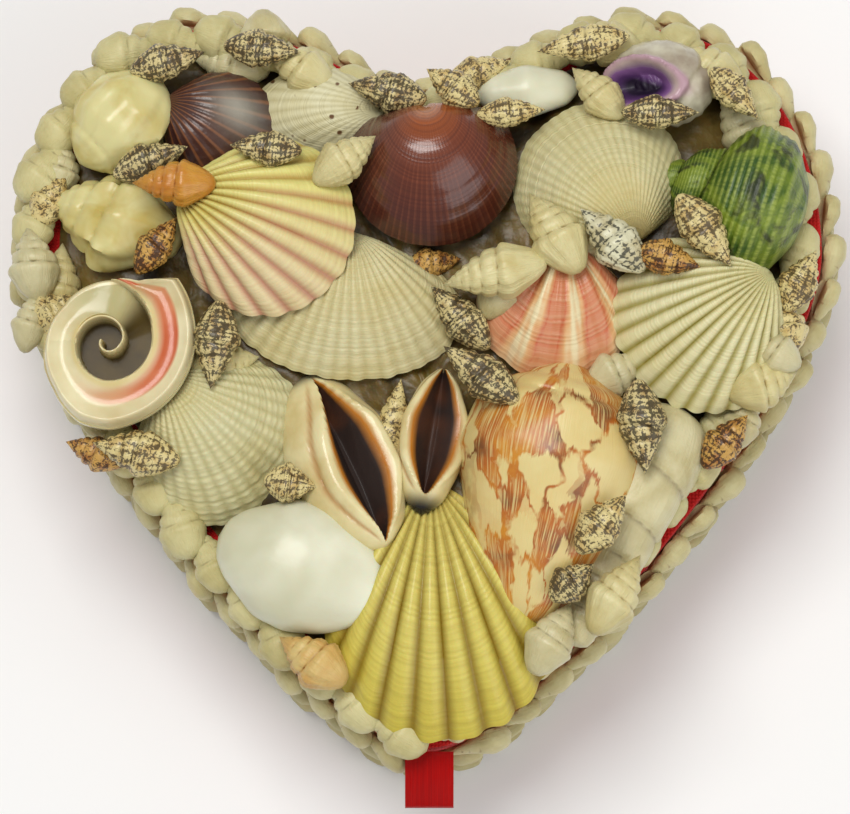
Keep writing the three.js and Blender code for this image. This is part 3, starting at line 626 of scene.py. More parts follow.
def make_green_finish():
    """Green spiral cords with yellow-green flames, near-black blotches and a yellow tip, and painted shade in
    the seams between its whorls.
    """
    f = Finish("green_turban", 0.4, Coat_Weight=0.2, Coat_Roughness=0.25)
    around = f.stretch(f.unwrapped(), (9, 2.2, 1))
    flame = f.ramp(f.noise(around, 1.5, 4, 1.0), (0.4, 0.0), (0.62, 1.0))
    body = f.mix(flame, rgb(54, 86, 26), rgb(118, 138, 40))
    beads = f.ramp(f.noise(f.stretch(f.unwrapped(), (150, 1, 1)), 1.0, 1), (0.35, 0.4), (0.6, 1.0))
    cord = f.math("MULTIPLY", f.ramp(f.mark("cord"), (0.3, 0.0), (0.9, 1.0)), beads)
    body = f.mix(f.math("MULTIPLY", cord, 0.6), body, rgb(172, 186, 96))
    blot = f.ramp(f.noise(f.stretch(f.unwrapped(), (14, 7, 1)), 1.0, 4, 0.6), (0.55, 0.0), (0.66, 1.0))
    body = f.mix(f.math("MULTIPLY", blot, 0.85), body, rgb(38, 42, 26))
    # Painted shade: the seams between the whorls are darkened.
    body = f.mix(f.ramp(f.mark("ridge"), (0.05, 0.8), (0.4, 0.0)), body, rgb(46, 52, 26))
    colour = f.mix(f.mark("tip"), body, rgb(214, 188, 84))
    return f.done(colour, f.group(grain, Size=1400.0)["Height"], 0.0003)


def make_violet_finish():
    """Grey-white outside, with a lilac lip and a violet mouth, painted darker down to near-black deeper in
    and towards one side as painted shade.
    """
    f = Finish("violet_snail", 0.25, Coat_Weight=0.15, Coat_Roughness=0.2)
    cloud = f.ramp(f.noise(f.place(), 160, 4), (0.38, 0.0), (0.66, 1.0))
    outside = f.mix(cloud, rgb(216, 210, 204), rgb(170, 156, 150))
    lip = f.mix(f.mark("lip"), outside, rgb(196, 160, 188))
    # Painted shade: the mouth mark grows deeper in and towards one side, and darkens the violet to
    # near-black.
    mouth = f.mark("mouth")
    inside = f.ramp(mouth, (0.15, rgb(146, 104, 150, VIOLET)), (0.4, rgb(88, 54, 100, VIOLET)),
                    (0.75, rgb(30, 15, 40, VIOLET)))
    colour = f.mix(f.ramp(mouth, (0.04, 0.0), (0.16, 1.0)), lip, inside)
    return f.done(colour, f.noise(f.place(), 500, 3), 0.0001, f.ramp(mouth, (0.1, 0.25), (0.5, 0.6)))


def make_sawn_finish():
    """Cream shell sawn open: a salmon-red band in the outer whorl, and a hollow painted olive-dark the deeper
    it lies, as painted shade.
    """
    f = Finish("sawn_whelk", 0.2, Coat_Weight=0.15, Coat_Roughness=0.15, Subsurface_Weight=0.1,
               Subsurface_Scale=0.002)
    cloud = f.ramp(f.noise(f.place(), 120, 3), (0.36, 0.0), (0.7, 1.0))
    body = f.mix(cloud, rgb(240, 230, 206), rgb(218, 202, 168))
    band = f.ramp(f.mark("band"), (0.0, 0.0), (0.3, 0.55), (0.85, 1.0))
    body = f.mix(band, body, f.mix(cloud, rgb(204, 102, 70), rgb(220, 138, 106)))
    # Painted shade in the well: dark olive-brown where the hollow mark is high.
    well_shade = f.mix(f.noise(f.place(), 300, 3), rgb(112, 92, 40), rgb(54, 40, 16))
    body = f.mix(f.math("MULTIPLY", f.mark("warm"), 0.5), body, rgb(222, 198, 126))
    body = f.mix(f.mark("terrace"), body, rgb(188, 180, 142))
    colour = f.mix(f.mark("hollow"), body, well_shade)
    roughness = f.ramp(f.mark("hollow"), (0.1, 0.2), (0.6, 0.75))
    return f.done(colour, f.noise(f.place(), 240, 3), 0.0001, roughness)


def make_open_finish():
    """Cream lips with amber inner edges round a mouth that goes near-black deeper in, as painted shade, with
    warmer brown patches of painted light.
    """
    f = Finish("open_shell", 0.2, Coat_Weight=0.12, Coat_Roughness=0.2, Subsurface_Weight=0.1,
               Subsurface_Scale=0.002)
    cloud = f.ramp(f.noise(f.place(), 130, 3), (0.38, 0.0), (0.68, 1.0))
    body = f.mix(cloud, rgb(238, 226, 192), rgb(216, 196, 150))
    mouth = f.mark("mouth")
    rim = f.ramp(mouth, (0.06, 0.0), (0.2, 1.0), (0.5, 1.0))
    body = f.mix(rim, body, rgb(196, 124, 44))
    body = f.mix(f.math("MULTIPLY", f.mark("fold"), 0.7), body, rgb(176, 112, 48))
    # Painted shade: deeper into the mouth the colour goes to near-black.
    body = f.mix(f.ramp(mouth, (0.2, 0.0), (0.42, 1.0)), body, rgb(34, 15, 6))
    # Painted light: warmer brown patches lift the dark inside of the mouth.
    glow = f.math("MULTIPLY", f.ramp(f.noise(f.place(), 90, 2), (0.45, 0.0), (0.65, 0.7)), mouth)
    body = f.mix(glow, body, rgb(96, 48, 18))
    colour = f.mix(f.mark("tip"), body, rgb(30, 28, 34))
    return f.done(colour, f.noise(f.place(), 500, 3), 0.0001, f.ramp(mouth, (0.2, 0.2), (0.5, 0.75)))


def make_clam_finish():
    """White with scattered small brown specks."""
    f = Finish("speckled_clam", 0.42, Coat_Weight=0.1, Coat_Roughness=0.3)
    along = f.mark("along")
    # The darker hollow colour is partly the clam's own and partly painted shade between its ribs.
    body = f.group(stain_and_hollow_shade, Colour=rgb(240, 238, 226), Ridge=f.mark("ridge"), Mottle=0.3,
                   **{"Hollow colour": rgb(204, 198, 172)})["Colour"]
    spots = f.ramp(f.cells(f.place(), 380), (0.17, 1.0), (0.24, 0.0))
    some = f.math("LESS_THAN", f.noise(f.place(), 120, 1), 0.52)
    colour = f.mix(f.math("MULTIPLY", spots, some), body, rgb(112, 78, 50))
    return f.done(colour, f.group(growth, Along=along, Lines=60.0)["Height"], 0.0003)


CLOTH = make_cloth()
SATIN = make_satin()
GLUE_AND_GAP_SHADE = make_glue_and_gap_shade()
# The third colour of each spire finish is painted shade for its seams and mouth.
IVORY_ROW = dull_finish("ivory_row", rgb(226, 219, 184), rgb(206, 197, 156), rgb(118, 92, 54), 0.42, 0.12)
OUTER_ROW = dull_finish("ivory_outer_row", rgb(230, 222, 190), rgb(208, 198, 160),
                        rgb(134, 84, 42), 0.42, 0.12)
# A darker copy of the ivory row's finish for the two rows on the box, under the lid: painted shade.
SHADED_LOWER_ROW = dull_finish("ivory_lower_row_shaded", rgb(214, 206, 172), rgb(186, 177, 140), rgb(100, 86, 62), 0.5)
CREAM_SPIRE = dull_finish("cream_spire", rgb(234, 226, 192), rgb(216, 202, 156),
                          rgb(150, 120, 70), 0.34, 0.25)
WHITE_SPIRE = dull_finish("white_spire", rgb(228, 222, 200), rgb(204, 194, 162), rgb(126, 108, 80), 0.3, 0.3)
ORANGE_SPIRE = dull_finish("orange_spire", rgb(226, 168, 66), rgb(206, 128, 40), rgb(150, 78, 24), 0.22, 0.6)
PEACH_SPIRE = dull_finish("peach_spire", rgb(232, 206, 150), rgb(218, 168, 98), rgb(166, 106, 54), 0.34, 0.2)
DARK_SPECKLE = speckled_finish("dark_speckled_dove", rgb(222, 204, 160), rgb(178, 140, 88),
                               rgb(38, 32, 24), 0.86)
PALE_SPECKLE = speckled_finish("pale_speckled_dove", rgb(230, 212, 164), rgb(204, 168, 106),
                               rgb(64, 50, 34), 0.6)
BROWN_SPECKLE = speckled_finish("brown_speckled_dove", rgb(212, 166, 96), rgb(158, 88, 38),
                                rgb(46, 26, 20), 0.7)
BANDED_SPECKLE = speckled_finish("banded_dove", rgb(228, 224, 208), rgb(196, 182, 148),
                                 rgb(40, 42, 40), 0.3, 900.0)


# The heart

def half_heart():
    """The right half, from the cleft round the lobe and down the flank to the tip. Four points a curve."""
    def at(x, y):
        return np.array((x * HALF_WIDTH, y))
    widest = LOBE_TOP * 0.39
    cleft, top, side = at(0, LOBE_TOP - CLEFT_DEPTH), at(0.55, LOBE_TOP), at(1, widest)
    flank, tip = at(0.166, -TIP_REACH * 0.916), at(0, -TIP_REACH)
    return [
        (cleft, at(0.14, cleft[1]), at(0.3, LOBE_TOP), top),
        (top, at(0.83, LOBE_TOP), at(1, LOBE_TOP * 0.72), side),
        (side, at(1, widest - LOBE_TOP * 0.3), at(0.5, -TIP_REACH * 0.626), flank),
        (flank, at(0.11, -TIP_REACH * 0.965), at(0.055, -TIP_REACH), tip),
    ]


def heart_edge(outwards, steps):
    """The heart's edge moved outwards, as points from the cleft clockwise back to the cleft."""
    half = []
    for index, (a, b, c, d) in enumerate(half_heart()):
        for i in range(0 if index == 0 else 1, steps + 1):
            t = i / steps
            s = 1 - t
            point = s**3 * a + 3 * s * s * t * b + 3 * s * t * t * c + t**3 * d
            along = s * s * (b - a) + 2 * s * t * (c - b) + t * t * (d - c)
            along /= np.hypot(*along)
            half.append(point + outwards * np.array((-along[1], along[0])))
    half[0][0] = half[-1][0] = 0
    mirrored = [np.array((-x, y)) for x, y in half[-2:0:-1]]
    return np.array(half + mirrored)


class HeartPath:
    """Places along the heart's edge, by distance from the cleft."""

    def __init__(self, outwards):
        self.points = heart_edge(outwards, 60)
        self.points = np.vstack((self.points, self.points[:1]))
        steps = np.hypot(*np.diff(self.points, axis=0).T)
        self.reached = np.concatenate(([0], np.cumsum(steps)))
        self.length = self.reached[-1]

    def at(self, distance):
        distance = np.asarray(distance) % self.length
        return np.stack([np.interp(distance, self.reached, self.points[:, k]) for k in (0, 1)], axis=-1)

    def heading(self, distance, reach=2.0):
        """The way that the edge runs, in radians from +X, as the chord over a short reach."""
        step = self.at(distance + reach) - self.at(distance - reach)
        return math.atan2(step[1], step[0])


def heart_form(name, profile):
    """A form whose level sections are hearts. The profile gives (outwards, height, share of that heart)."""
    piece, turn, share = globe(name, HEART_POINTS, len(profile))
    ring = np.rint(share * len(profile)).astype(int)
    step = np.rint((turn % TURN) / TURN * HEART_POINTS).astype(int) % HEART_POINTS
    co = np.zeros((len(turn), 3))
    for r in range(len(profile) + 1):
        outwards, height, size = profile[min(r, len(profile) - 1)] if r else (0, profile[0][1], 0)
        if r == len(profile):
            size = 0
        path = HeartPath(outwards)
        here = ring == r
        places = path.at(-step[here] * path.length / HEART_POINTS) * size
        co[here] = np.column_stack((places, np.full(here.sum(), height)))
    move_points(piece, co)
    close_up(piece)
    return piece


def rounded(outwards, height, radius, start, end):
    """A rounded edge in a profile, from one angle to another in degrees about a centre."""
    angles = np.linspace(start, end, EDGE_STEPS + 1) * DEGREE
    return [(outwards + radius * math.cos(a), height + radius * math.sin(a), 1) for a in angles]


def make_base():
    edge = 0.8
    floor = [(-WALL, 3.0, s) for s in (0.25, 0.5, 0.75, 0.97)]
    inside = [(-WALL, z, 1) for z in (3.0, 3.6, 12, 22, BASE_HEIGHT - edge)]
    high = BASE_HEIGHT - edge
    rim = rounded(-WALL + edge, high, edge, 180, 90) + rounded(-edge, high, edge, 90, 0)
    outside = [(0, z, 1) for z in (22, 12, edge)] + rounded(-edge, edge, edge, 0, -90)
    bottom = [(-edge, 0, s) for s in (0.9, 0.6, 0.3)]
    piece = heart_form("box_in_cloth", floor + inside + rim + outside + bottom)
    settle(piece, Matrix.Identity(4), CLOTH, "base_box", 40)


def make_lid():
    edge = 0.9
    top = [(-edge, LID_TOP, s) for s in (0.3, 0.6, 0.9)] + rounded(-edge, LID_TOP - edge, edge, 90, 0)
    band = [(0, LID_FOOT + edge, 1)] + rounded(-edge, LID_FOOT + edge, edge, 0, -90)
    step = [(RIM_OUTSIDE, LID_FOOT, 1), (RIM_OUTSIDE, LID_FOOT - RIM_DEPTH + 0.6, 1)]
    rim = [(RIM_OUTSIDE - 0.6, LID_FOOT - RIM_DEPTH, 1), (RIM_INSIDE + 0.4, LID_FOOT - RIM_DEPTH, 1),
           (RIM_INSIDE, LID_FOOT - RIM_DEPTH + 0.5, 1), (RIM_INSIDE, LID_TOP - LID_BOARD, 1)]
    ceiling = [(RIM_INSIDE, LID_TOP - LID_BOARD, s) for s in (0.9, 0.6, 0.3)]
    piece = heart_form("lid_in_cloth", top + band + step + rim + ceiling)
    settle(piece, Matrix.Identity(4), CLOTH, "lid", 40)


def make_ribbon():
    """A satin ribbon that comes out from under the lid's shells at the tip and is folded back beneath."""
    width, reach, droop, fold = 9.0, 9.6, 2.5, 0.75
    start, top = -TIP_REACH - 0.4, LID_TOP - 0.35
    piece, across, along = flat_grid("folded_ribbon", 20, 72)
    out = np.clip(along * 2.1, 0, 1)
    back = np.clip(along * 2.1 - 1.1, 0, 1)
    bend = np.clip((along * 2.1 - 1) * 10, 0, 1)
    far = out * (1 - back)
    y = start - reach * far - fold * np.sin(math.pi * bend)
    z = top - droop * far**2 - fold * (1 - np.cos(math.pi * bend))
    crown = 0.18 * (1 - across**2) * np.sin(math.pi * np.clip(far, 0, 1)) * np.where(bend > 0.5, -1, 1)
    move_points(piece, np.column_stack((across * width / 2 + 0.4, y, z + crown)))
    flip_if_down(piece)
    thicken(piece, 0.22)
    settle(piece, Matrix.Identity(4), SATIN, "ribbon_tab", 60)


def flip_if_down(piece):
    """Turns a sheet's faces up where its first row looks down."""
    normals = np.empty(len(piece.data.polygons) * 3)
    piece.data.polygons.foreach_get("normal", normals)
    if normals.reshape(-1, 3)[:20, 2].mean() < 0:
        take(piece)
        bpy.ops.object.mode_set(mode="EDIT")
        bpy.ops.mesh.select_all(action="SELECT")
        bpy.ops.mesh.flip_normals()
        bpy.ops.object.mode_set(mode="OBJECT")


# Spiral shells

def profile_curve(*points):
    """A smooth curve of half width (0 to 1) by share of the length, from the apex."""
    at, out = zip(*points)
    fine = np.linspace(0, 1, 401)
    value = np.interp(fine, at, out)
    for _ in range(3):
        padded = np.pad(value, 12, mode="reflect", reflect_type="odd")
        value = np.convolve(padded, np.ones(25) / 25, mode="valid")
    value = np.clip(value, 0, None)
    value *= np.clip(np.minimum(fine, 1 - fine) * 40, 0, 1) ** 0.5
    return lambda share: np.interp(share, fine, value / value.max())


SPINDLE = profile_curve((0, 0), (0.26, 0.56), (0.56, 1), (0.84, 0.6), (1, 0.16))
MITRE = profile_curve((0, 0), (0.32, 0.66), (0.6, 1), (0.9, 0.5), (1, 0.2))
EGG = profile_curve((0, 0.1), (0.12, 0.6), (0.38, 1), (0.66, 0.97), (0.9, 0.6), (1, 0.1))
BUBBLE = profile_curve((0, 0.1), (0.12, 0.62), (0.5, 1), (0.88, 0.62), (1, 0.1))
VOLUTE = profile_curve((0, 0), (0.16, 0.84), (0.38, 1), (0.7, 0.74), (0.95, 0.4), (1, 0.2))
WHELK = profile_curve((0, 0), (0.16, 0.5), (0.36, 0.8), (0.56, 1), (0.9, 0.46), (1, 0.2))
BEAN = profile_curve((0, 0.06), (0.35, 0.46), (0.68, 1), (0.9, 0.86), (1, 0.34))
DROP = profile_curve((0, 0), (0.3, 0.52), (0.62, 1), (0.9, 0.7), (1, 0.2))


def spiral_shell(name, length, width, height, profile=SPINDLE, around=44, rings=56, first=0.5, shrink=0.6,
                 seam=0.16, peak=0.6, ribs=0, rib_relief=0.05, cords=0, cord_relief=0.02, cord_climb=1,
                 mouth=None, seed=1, dark_end=False, shoulder=None, uneven=0.025):
    """A coiled shell with its apex at +Y. Its whorls are parted by a spiral seam, which starts at the share
    first of the length and climbs by the factor shrink each turn. The mouth is (turn, half width, from, to,
    depth, lowness), and the shoulder's knobs are (count, size, share of the length, spread)."""
    piece, turn, share = globe(name, around, rings)
    safe = np.clip(share, 0.004, 1)
    phase = np.log(safe / first) / math.log(shrink) + turn / TURN
    part = phase % 1
    swell = np.where(part < peak, part / peak, (1 - part) / (1 - peak))
    rise = np.sin(math.pi / 2 * swell)
    rise = np.where((phase < 0) & (part < peak) | (phase < -1), 1, rise) ** 0.5
    out = profile(share) * (1 - seam * (1 - rise))
    waves = 0.5 + 0.5 * np.cos(ribs * turn + 0.8 * phase)
    fade = ease(share, 0.02, 0.1) * (1 - ease(share, 0.8, 0.97))
    if ribs:
        out *= 1 + rib_relief * (waves**0.8 - 0.5) * fade * rise
    cord = 0.5 + 0.5 * np.cos(TURN * cords * (phase - turn / TURN) + cord_climb * turn)
    if cords:
        out *= 1 + cord_relief * (cord - 0.5) * fade
    if shoulder:
        count, size, at, spread = shoulder
        knob = np.clip(np.cos(count * turn), 0, 1) ** 3 * np.exp(-(((share - at) / spread) ** 2))
        out *= 1 + size * knob
    dent = np.zeros_like(share)
    if mouth:
        facing, half, start, end, depth, low = mouth
        lens = np.sin(math.pi * np.clip((share - start) / (end - start), 0, 1) ** low) ** 0.7
        away = (turn - facing + math.pi) % TURN - math.pi
        dent = np.exp(-((np.abs(away) / np.maximum(half * lens, 0.02)) ** 6)) * ease(lens, 0.05, 0.3)
        lip = np.exp(-(((np.abs(away) - half * lens * 1.4) / 0.14) ** 2)) * ease(lens, 0.2, 0.6)
        fold = np.exp(-(((away + half * lens * 1.3 + 0.34) / 0.07) ** 2)) * ease(lens, 0.05, 0.4)
        out *= (1 + 0.07 * lip) * (1 - depth * dent) * (1 - 0.06 * fold)
        mark(piece, "fold", fold)
    out *= 1 + uneven * wobble(turn, share * 6, seed)
    x = np.sin(turn) * out * width / 2
    z = np.cos(turn) * out * height / 2
    y = (0.5 - share) * length
    move_points(piece, np.column_stack((x, y, z)))
    mark(piece, "ridge", rise)
    mark(piece, "mouth", dent)
    mark(piece, "cord", cord)
    mark(piece, "bead", np.sqrt(waves * cord) if ribs and cords else np.full_like(share, 0.5))
    mark(piece, "tip", ease(share, 0.86, 0.97) if dark_end else 1 - ease(share, 0.02, 0.1))
    close_up(piece)
    return piece


def row_of_shells(name, node, finish, shell, path, pitch, foot, lean, slot=0, on_top=False, inward=0.0,
                  shift=0):
    """Copies of one shell laid nose to tail along the heart's edge, from the tip round and back, with a slot
    for the ribbon. Each tail tucks in behind the next shell."""
    start = path.length / 2 + slot / 2
    run = path.length - slot
    count = round(run / pitch)
    copies = []
    for k in range(count):
        distance = start + (k + 0.42) * run / count
        x, y = path.at(distance)
        heading = path.heading(distance)
        copy = shell.copy()
        copy.data = shell.data.copy()
        bpy.context.scene.collection.objects.link(copy)
        vary = math.sin(k * 2.3 + 0.7)
        size = 1 + 0.05 * vary
        tilt = Matrix.Rotation((lean + 4 * math.sin(k * 1.7)) * DEGREE, 4, "Z")
        spin = Matrix.Rotation(0.25 * math.sin(k * 3.1), 4, "Y")
        out = Vector((-math.sin(heading), math.cos(heading), 0)) * (inward + 0.25 * vary)
        where = Matrix.Translation(Vector((x + shift, y, foot + (0.2 * vary if on_top else 0))) + out)
        facing = Matrix.Rotation(heading - math.pi / 2, 4, "Z")
        copy.data.transform(where @ facing @ tilt @ spin @ Matrix.Scale(size, 4))
        copies.append(copy)
    take(copies[0])
    for copy in copies[1:]:
        copy.select_set(True)
    bpy.ops.object.join()
    row = named(name)
    bpy.data.objects.remove(shell)
    settle(row, Matrix.Identity(4), finish, node, 60)


def make_rows():
    """Four rows: round the top of the lid, on its side, and two lower rows of simpler shells on the box, in a
    darker finish of painted shade.
    """
    shell = spiral_shell("top_row_shell", 14.6, 8.8, 7.4, DROP, 22, 24, 0.56, 0.72, 0.22, 0.75, seed=2)
    row_of_shells("lid_top_shells", "lid_top_row", IVORY_ROW, shell, HeartPath(-TOP_INSET), TOP_PITCH,
                  LID_TOP + 4.0, -14, on_top=True, inward=0.5, shift=TOP_SHIFT)
    path = HeartPath(SIDE_OUTWARDS)
    shell = spiral_shell("side_row_shell", 12.6, 5.0, 7.2, BEAN, 22, 20, 0.54, 0.7, 0.06, 0.7,
                         mouth=(0.95, 0.3, 0.3, 0.97, 0.34, 1.2), seed=3)
    row_of_shells("lid_side_shells", "lid_side_row", OUTER_ROW, shell, path, SIDE_PITCH,
                  (LID_FOOT + LID_TOP) / 2, -10, slot=RIBBON_SLOT)
    for name, node, foot in (("box_upper_shells", "base_top_row", BASE_HEIGHT - 4.0),
                             ("box_lower_shells", "base_foot_row", 4.1)):
        shell = spiral_shell(name + "_one", 12.6, 4.6, 7.2, DROP, 14, 12, 0.5, 0.6, 0.16, 0.6, seed=4)
        row_of_shells(name, node, SHADED_LOWER_ROW, shell, path, BASE_PITCH, foot, -10)


# Valves

def fan_reach(angle, length, width, fan):
    a, b = width / 2, length * fan
    c = length - b
    s, k = np.sin(angle), np.cos(angle)
    p, q, r = (s / a) ** 2 + (k / b) ** 2, c * k / b**2, (c / b) ** 2 - 1
    return (q + np.sqrt(np.maximum(0, q * q - p * r))) / p


def fan_surface(u, v, s):
    """The bare dome of a valve at shares across (-1 to 1) and along (0 to 1)."""
    a, b = s["width"] / 2, s["length"] * s["fan"]
    c = s["length"] - b
    widest = math.atan(a / math.sqrt(c * c - b * b)) * 0.98 if c > b else 82 * DEGREE
    angle = u * widest
    margin = 1 + s["ragged"] * wobble(u * 5, u * 0, s["seed"]) * v**3
    reach = fan_reach(angle, s["length"], s["width"], s["fan"]) * v * margin
    side = np.sqrt(np.maximum(0, 1 - u * u))
    dome = np.sin(math.pi * np.clip(v, 0, 1) ** s["back"]) ** 0.85 * side
    z = s["edge"] + s["height"] * dome
    return np.stack((reach * np.sin(angle), reach * np.cos(angle), z), axis=-1)


def valve(name, length, width, height, columns, rows, relief, fan=0.5, back=0.75, edge=1.3, wall=0.9,
          ragged=0.008, seed=1, scallop=0.0):
    """One half of a bivalve that fans out along +Y from its beak. relief(u, v) gives the height of its ribs
    in millimetres, and the marks that its finish reads."""
    shape = dict(length=length, width=width, height=height, fan=fan, back=back, edge=edge, ragged=ragged,
                 seed=seed)
    piece, u, v = flat_grid(name, columns, rows)
    v = v**0.85
    point = fan_surface(u, v, shape)
    tiny = 1e-3
    inner_u, inner_v = np.clip(u, -0.985, 0.985), np.clip(v, 0.02, 0.985)
    du = fan_surface(inner_u + tiny, inner_v, shape) - fan_surface(inner_u - tiny, inner_v, shape)
    dv = fan_surface(inner_u, inner_v + tiny, shape) - fan_surface(inner_u, inner_v - tiny, shape)
    normal = np.cross(du, dv)
    normal /= np.maximum(np.linalg.norm(normal, axis=1, keepdims=True), 1e-9)
    lift, marks = relief(u, v)
    lift = lift * ease(1 - np.abs(u), 0.0, 0.05) * (1 - 0.4 * ease(v, 0.9, 1.0))
    growth_step = 0.12 * wobble(v * 9, u * 0.3, seed + 3) * v
    co = point + normal * (lift * ease(v, 0.0, 0.3) + growth_step)[:, None]
    co[:, :2] *= (1 + scallop * (lift / max(lift.max(), 1e-6) - 0.5) * v**4)[:, None]
    move_points(piece, co)
    mark(piece, "across", (u + 1) / 2)
    mark(piece, "along", v)
    for key, values in marks.items():
        mark(piece, key, values)
    close_up(piece, turn_out=False)
    thicken(piece, wall)
    return piece


def rib_wave(u, count, sharp):
    return np.clip(0.5 - 0.5 * np.cos(math.pi * count * (u + 1)), 0, 1) ** sharp


def strong_ribs(count, height, sharp=0.5):
    """The bold round ribs of a scallop."""
    def relief(u, v):
        wave = rib_wave(u, count, sharp)
        return height * wave, {"ridge": np.clip(wave * 1.25, 0, 1)}
    return relief


def fine_ribs(count, height, lattice=0, cross=0.0):
    """Many close ribs, crossed by rows of concentric beads where there is a lattice."""
    def relief(u, v):
        wave = rib_wave(u, count, 0.6)
        beads = 0.5 + 0.5 * np.cos(TURN * lattice * v) if lattice else np.ones_like(v)
        lift = wave * (height + cross * beads)
        return lift, {"ridge": np.clip(0.35 + 0.65 * wave * (0.5 + 0.5 * beads), 0, 1)}
    return relief


def smooth_rays(count):
    """Fine rays that hardly stand up."""
    def relief(u, v):
        wave = rib_wave(u, count, 1.0)
        uneven = np.clip(wave * (0.7 + 0.3 * wobble(u * 14, v * 2, 2)), 0, 1)
        return np.zeros_like(u) + 1e-4, {"ridge": np.ones_like(u), "rays": uneven}
    return relief


def broad_waves(u, v):
    """The low broad folds of the striped scallop."""
    wave = rib_wave(u, 6, 1.0)
    fine = rib_wave(u, 26, 1.0)
    rays = np.clip(0.55 + 0.45 * np.sin(u * 15 + 1.3 + 0.8 * np.sin(v * 4)) * (0.6 + 0.4 * fine), 0, 1)
    return 0.75 * wave + 0.08 * fine, {"ridge": wave, "rays": rays}


def dark_ribs(u, v):
    """The close ribs of the dark scallop, with a worn patch near one side."""
    wave = rib_wave(u, 15, 0.8)
    worn = np.exp(-(((u + 0.28) / 0.26) ** 2 + ((v - 0.66) / 0.2) ** 2))
    return 0.12 * wave, {"ridge": wave, "worn": worn}


def make_valves():
    """The large valves: node, place on the lid, form, finish and slot."""
    # The second colour of each valve, between its ribs, is darker: partly its own colour, partly painted
    # shade.
    ivory_ribs = ribbed_finish("ribbed_white", rgb(234, 229, 206), rgb(196, 184, 146), rgb(236, 230, 204))
    beaded = ribbed_finish("beaded_white", rgb(232, 230, 208), rgb(184, 178, 142), rgb(230, 224, 194),
                           lines=40)
    lattice = ribbed_finish("lattice_white", rgb(236, 232, 208), rgb(204, 196, 160), rgb(230, 214, 166),
                            lines=110)
    yellow = ribbed_finish("yellow_scallop", rgb(232, 220, 128), rgb(142, 114, 18), rgb(228, 214, 140),
                           0.38, 0.2, 0.2, 50, rgb(222, 206, 92))
    cream = ribbed_finish("cream_scallop", rgb(244, 240, 216), rgb(158, 146, 62), rgb(240, 234, 200),
                          0.42, 0.15, 0.25, 90)
    valve_list = [
        ("white_cockle", (0.525, 0.405, 4.5, 121, 3),
         dict(length=28.5, width=32.5, height=10, columns=218, rows=66, relief=fine_ribs(36, 0.16, 46, 0.1),
              seed=3, fan=0.52), lattice, "white_shell"),
        ("brown_cockle", (-0.005, 0.785, 7, -84, 3),
         dict(length=27, width=32, height=11, columns=164, rows=50, relief=smooth_rays(54), seed=5, fan=0.58,
              ragged=0.004), make_brown_cockle(), "brown_shell"),
        ("pink_scallop", (-0.62, 0.535, 8.5, -22, 8),
         dict(length=34.5, width=33.5, height=7.5, columns=170, rows=54, relief=strong_ribs(14, 0.85),
              fan=0.46, seed=7, scallop=0.01), make_pink_scallop(), "pink_and_yellow_scallop"),
        ("cream_scallop", (0.86, 0.32, ON_ROW, 216, 1),
         dict(length=32, width=34, height=8.5, columns=200, rows=54, relief=strong_ribs(18, 0.8), fan=0.47,
              seed=9, scallop=0.008), cream, "cream_shell"),
        ("dark_scallop", (-0.667, 0.804, 4.5, -26),
         dict(length=23, width=22, height=6, columns=122, rows=34, relief=dark_ribs, fan=0.47, seed=2,
              ragged=0.02), make_dark_scallop(), "dark_scallop"),
        ("speckled_clam", (-0.109, 0.781, 3, 182),
         dict(length=25, width=18, height=6.5, columns=156, rows=34, relief=fine_ribs(26, 0.1), seed=4),
         make_clam_finish(), "white_shell"),
        ("ribbed_cockle", (-0.19, 0.44, 3.6, -94, 6),
         dict(length=28.5, width=43.5, height=8, columns=190, rows=60, relief=fine_ribs(23, 0.3, 24, 0.04),
              fan=0.47, seed=6, scallop=0.006), ivory_ribs, "white_shell"),
        ("striped_scallop", (0.341, 0.424, 5, -97, 3),
         dict(length=27, width=29, height=6, columns=156, rows=46, relief=broad_waves, fan=0.46, seed=8,
              scallop=0.02), make_striped_scallop(), "coral_striped_shell"),
        ("yellow_scallop", (0.008, -0.235, 3.6, -86, 2),
         dict(length=49, width=42, height=8.6, columns=162, rows=74, relief=strong_ribs(12, 1.1), fan=0.43,
              back=1.05, seed=11, scallop=0.012, wall=1.2), yellow, "yellow_scallop"),
        ("beaded_cockle", (-0.665, 0.045, 2.4, -45),
         dict(length=31.5, width=35, height=9, columns=178, rows=112, relief=fine_ribs(22, 0.17, 26, 0.15),
              fan=0.48, seed=10, scallop=0.006), beaded, "white_shell"),
    ]
    for node, where, sizes, finish, slot in valve_list:
        settle(valve(node + "_shell", **sizes), place_on_lid(*where), finish, node, 70)


# Large spiral shells

def make_volute():
    length, width, height = 51, 35, 28
    piece = spiral_shell("map_volute_shell", length, width, height, VOLUTE, 90, 90, 0.16, 0.6, 0.12, seed=6)
    co = points_of(piece)
    turn = np.arctan2(co[:, 0] / width, co[:, 2] / height)
    mark(piece, "tent_along", co[:, 1])
    mark(piece, "tent_side", turn * 16)
    settle(piece, place_on_lid(0.295, -0.275, 7.5, 79), make_map_finish(), "map_volute")


def make_turban():
    """Three swollen whorls, with strong spiral cords."""
    stepped = profile_curve((0, 0.1), (0.07, 0.22), (0.14, 0.24), (0.22, 0.42), (0.31, 0.52), (0.37, 0.54),
                            (0.46, 0.84), (0.62, 1), (0.85, 0.88), (1, 0.3))
    piece = spiral_shell("green_turban_shell", 30, 28.5, 24, stepped, 110, 180, 0.36, 0.46, 0.3, 0.5,
                         cords=10, cord_relief=0.02, cord_climb=3, seed=3)
    settle(piece, place_on_lid(0.752, 0.535, 9, 165), make_green_finish(), "green_turban")


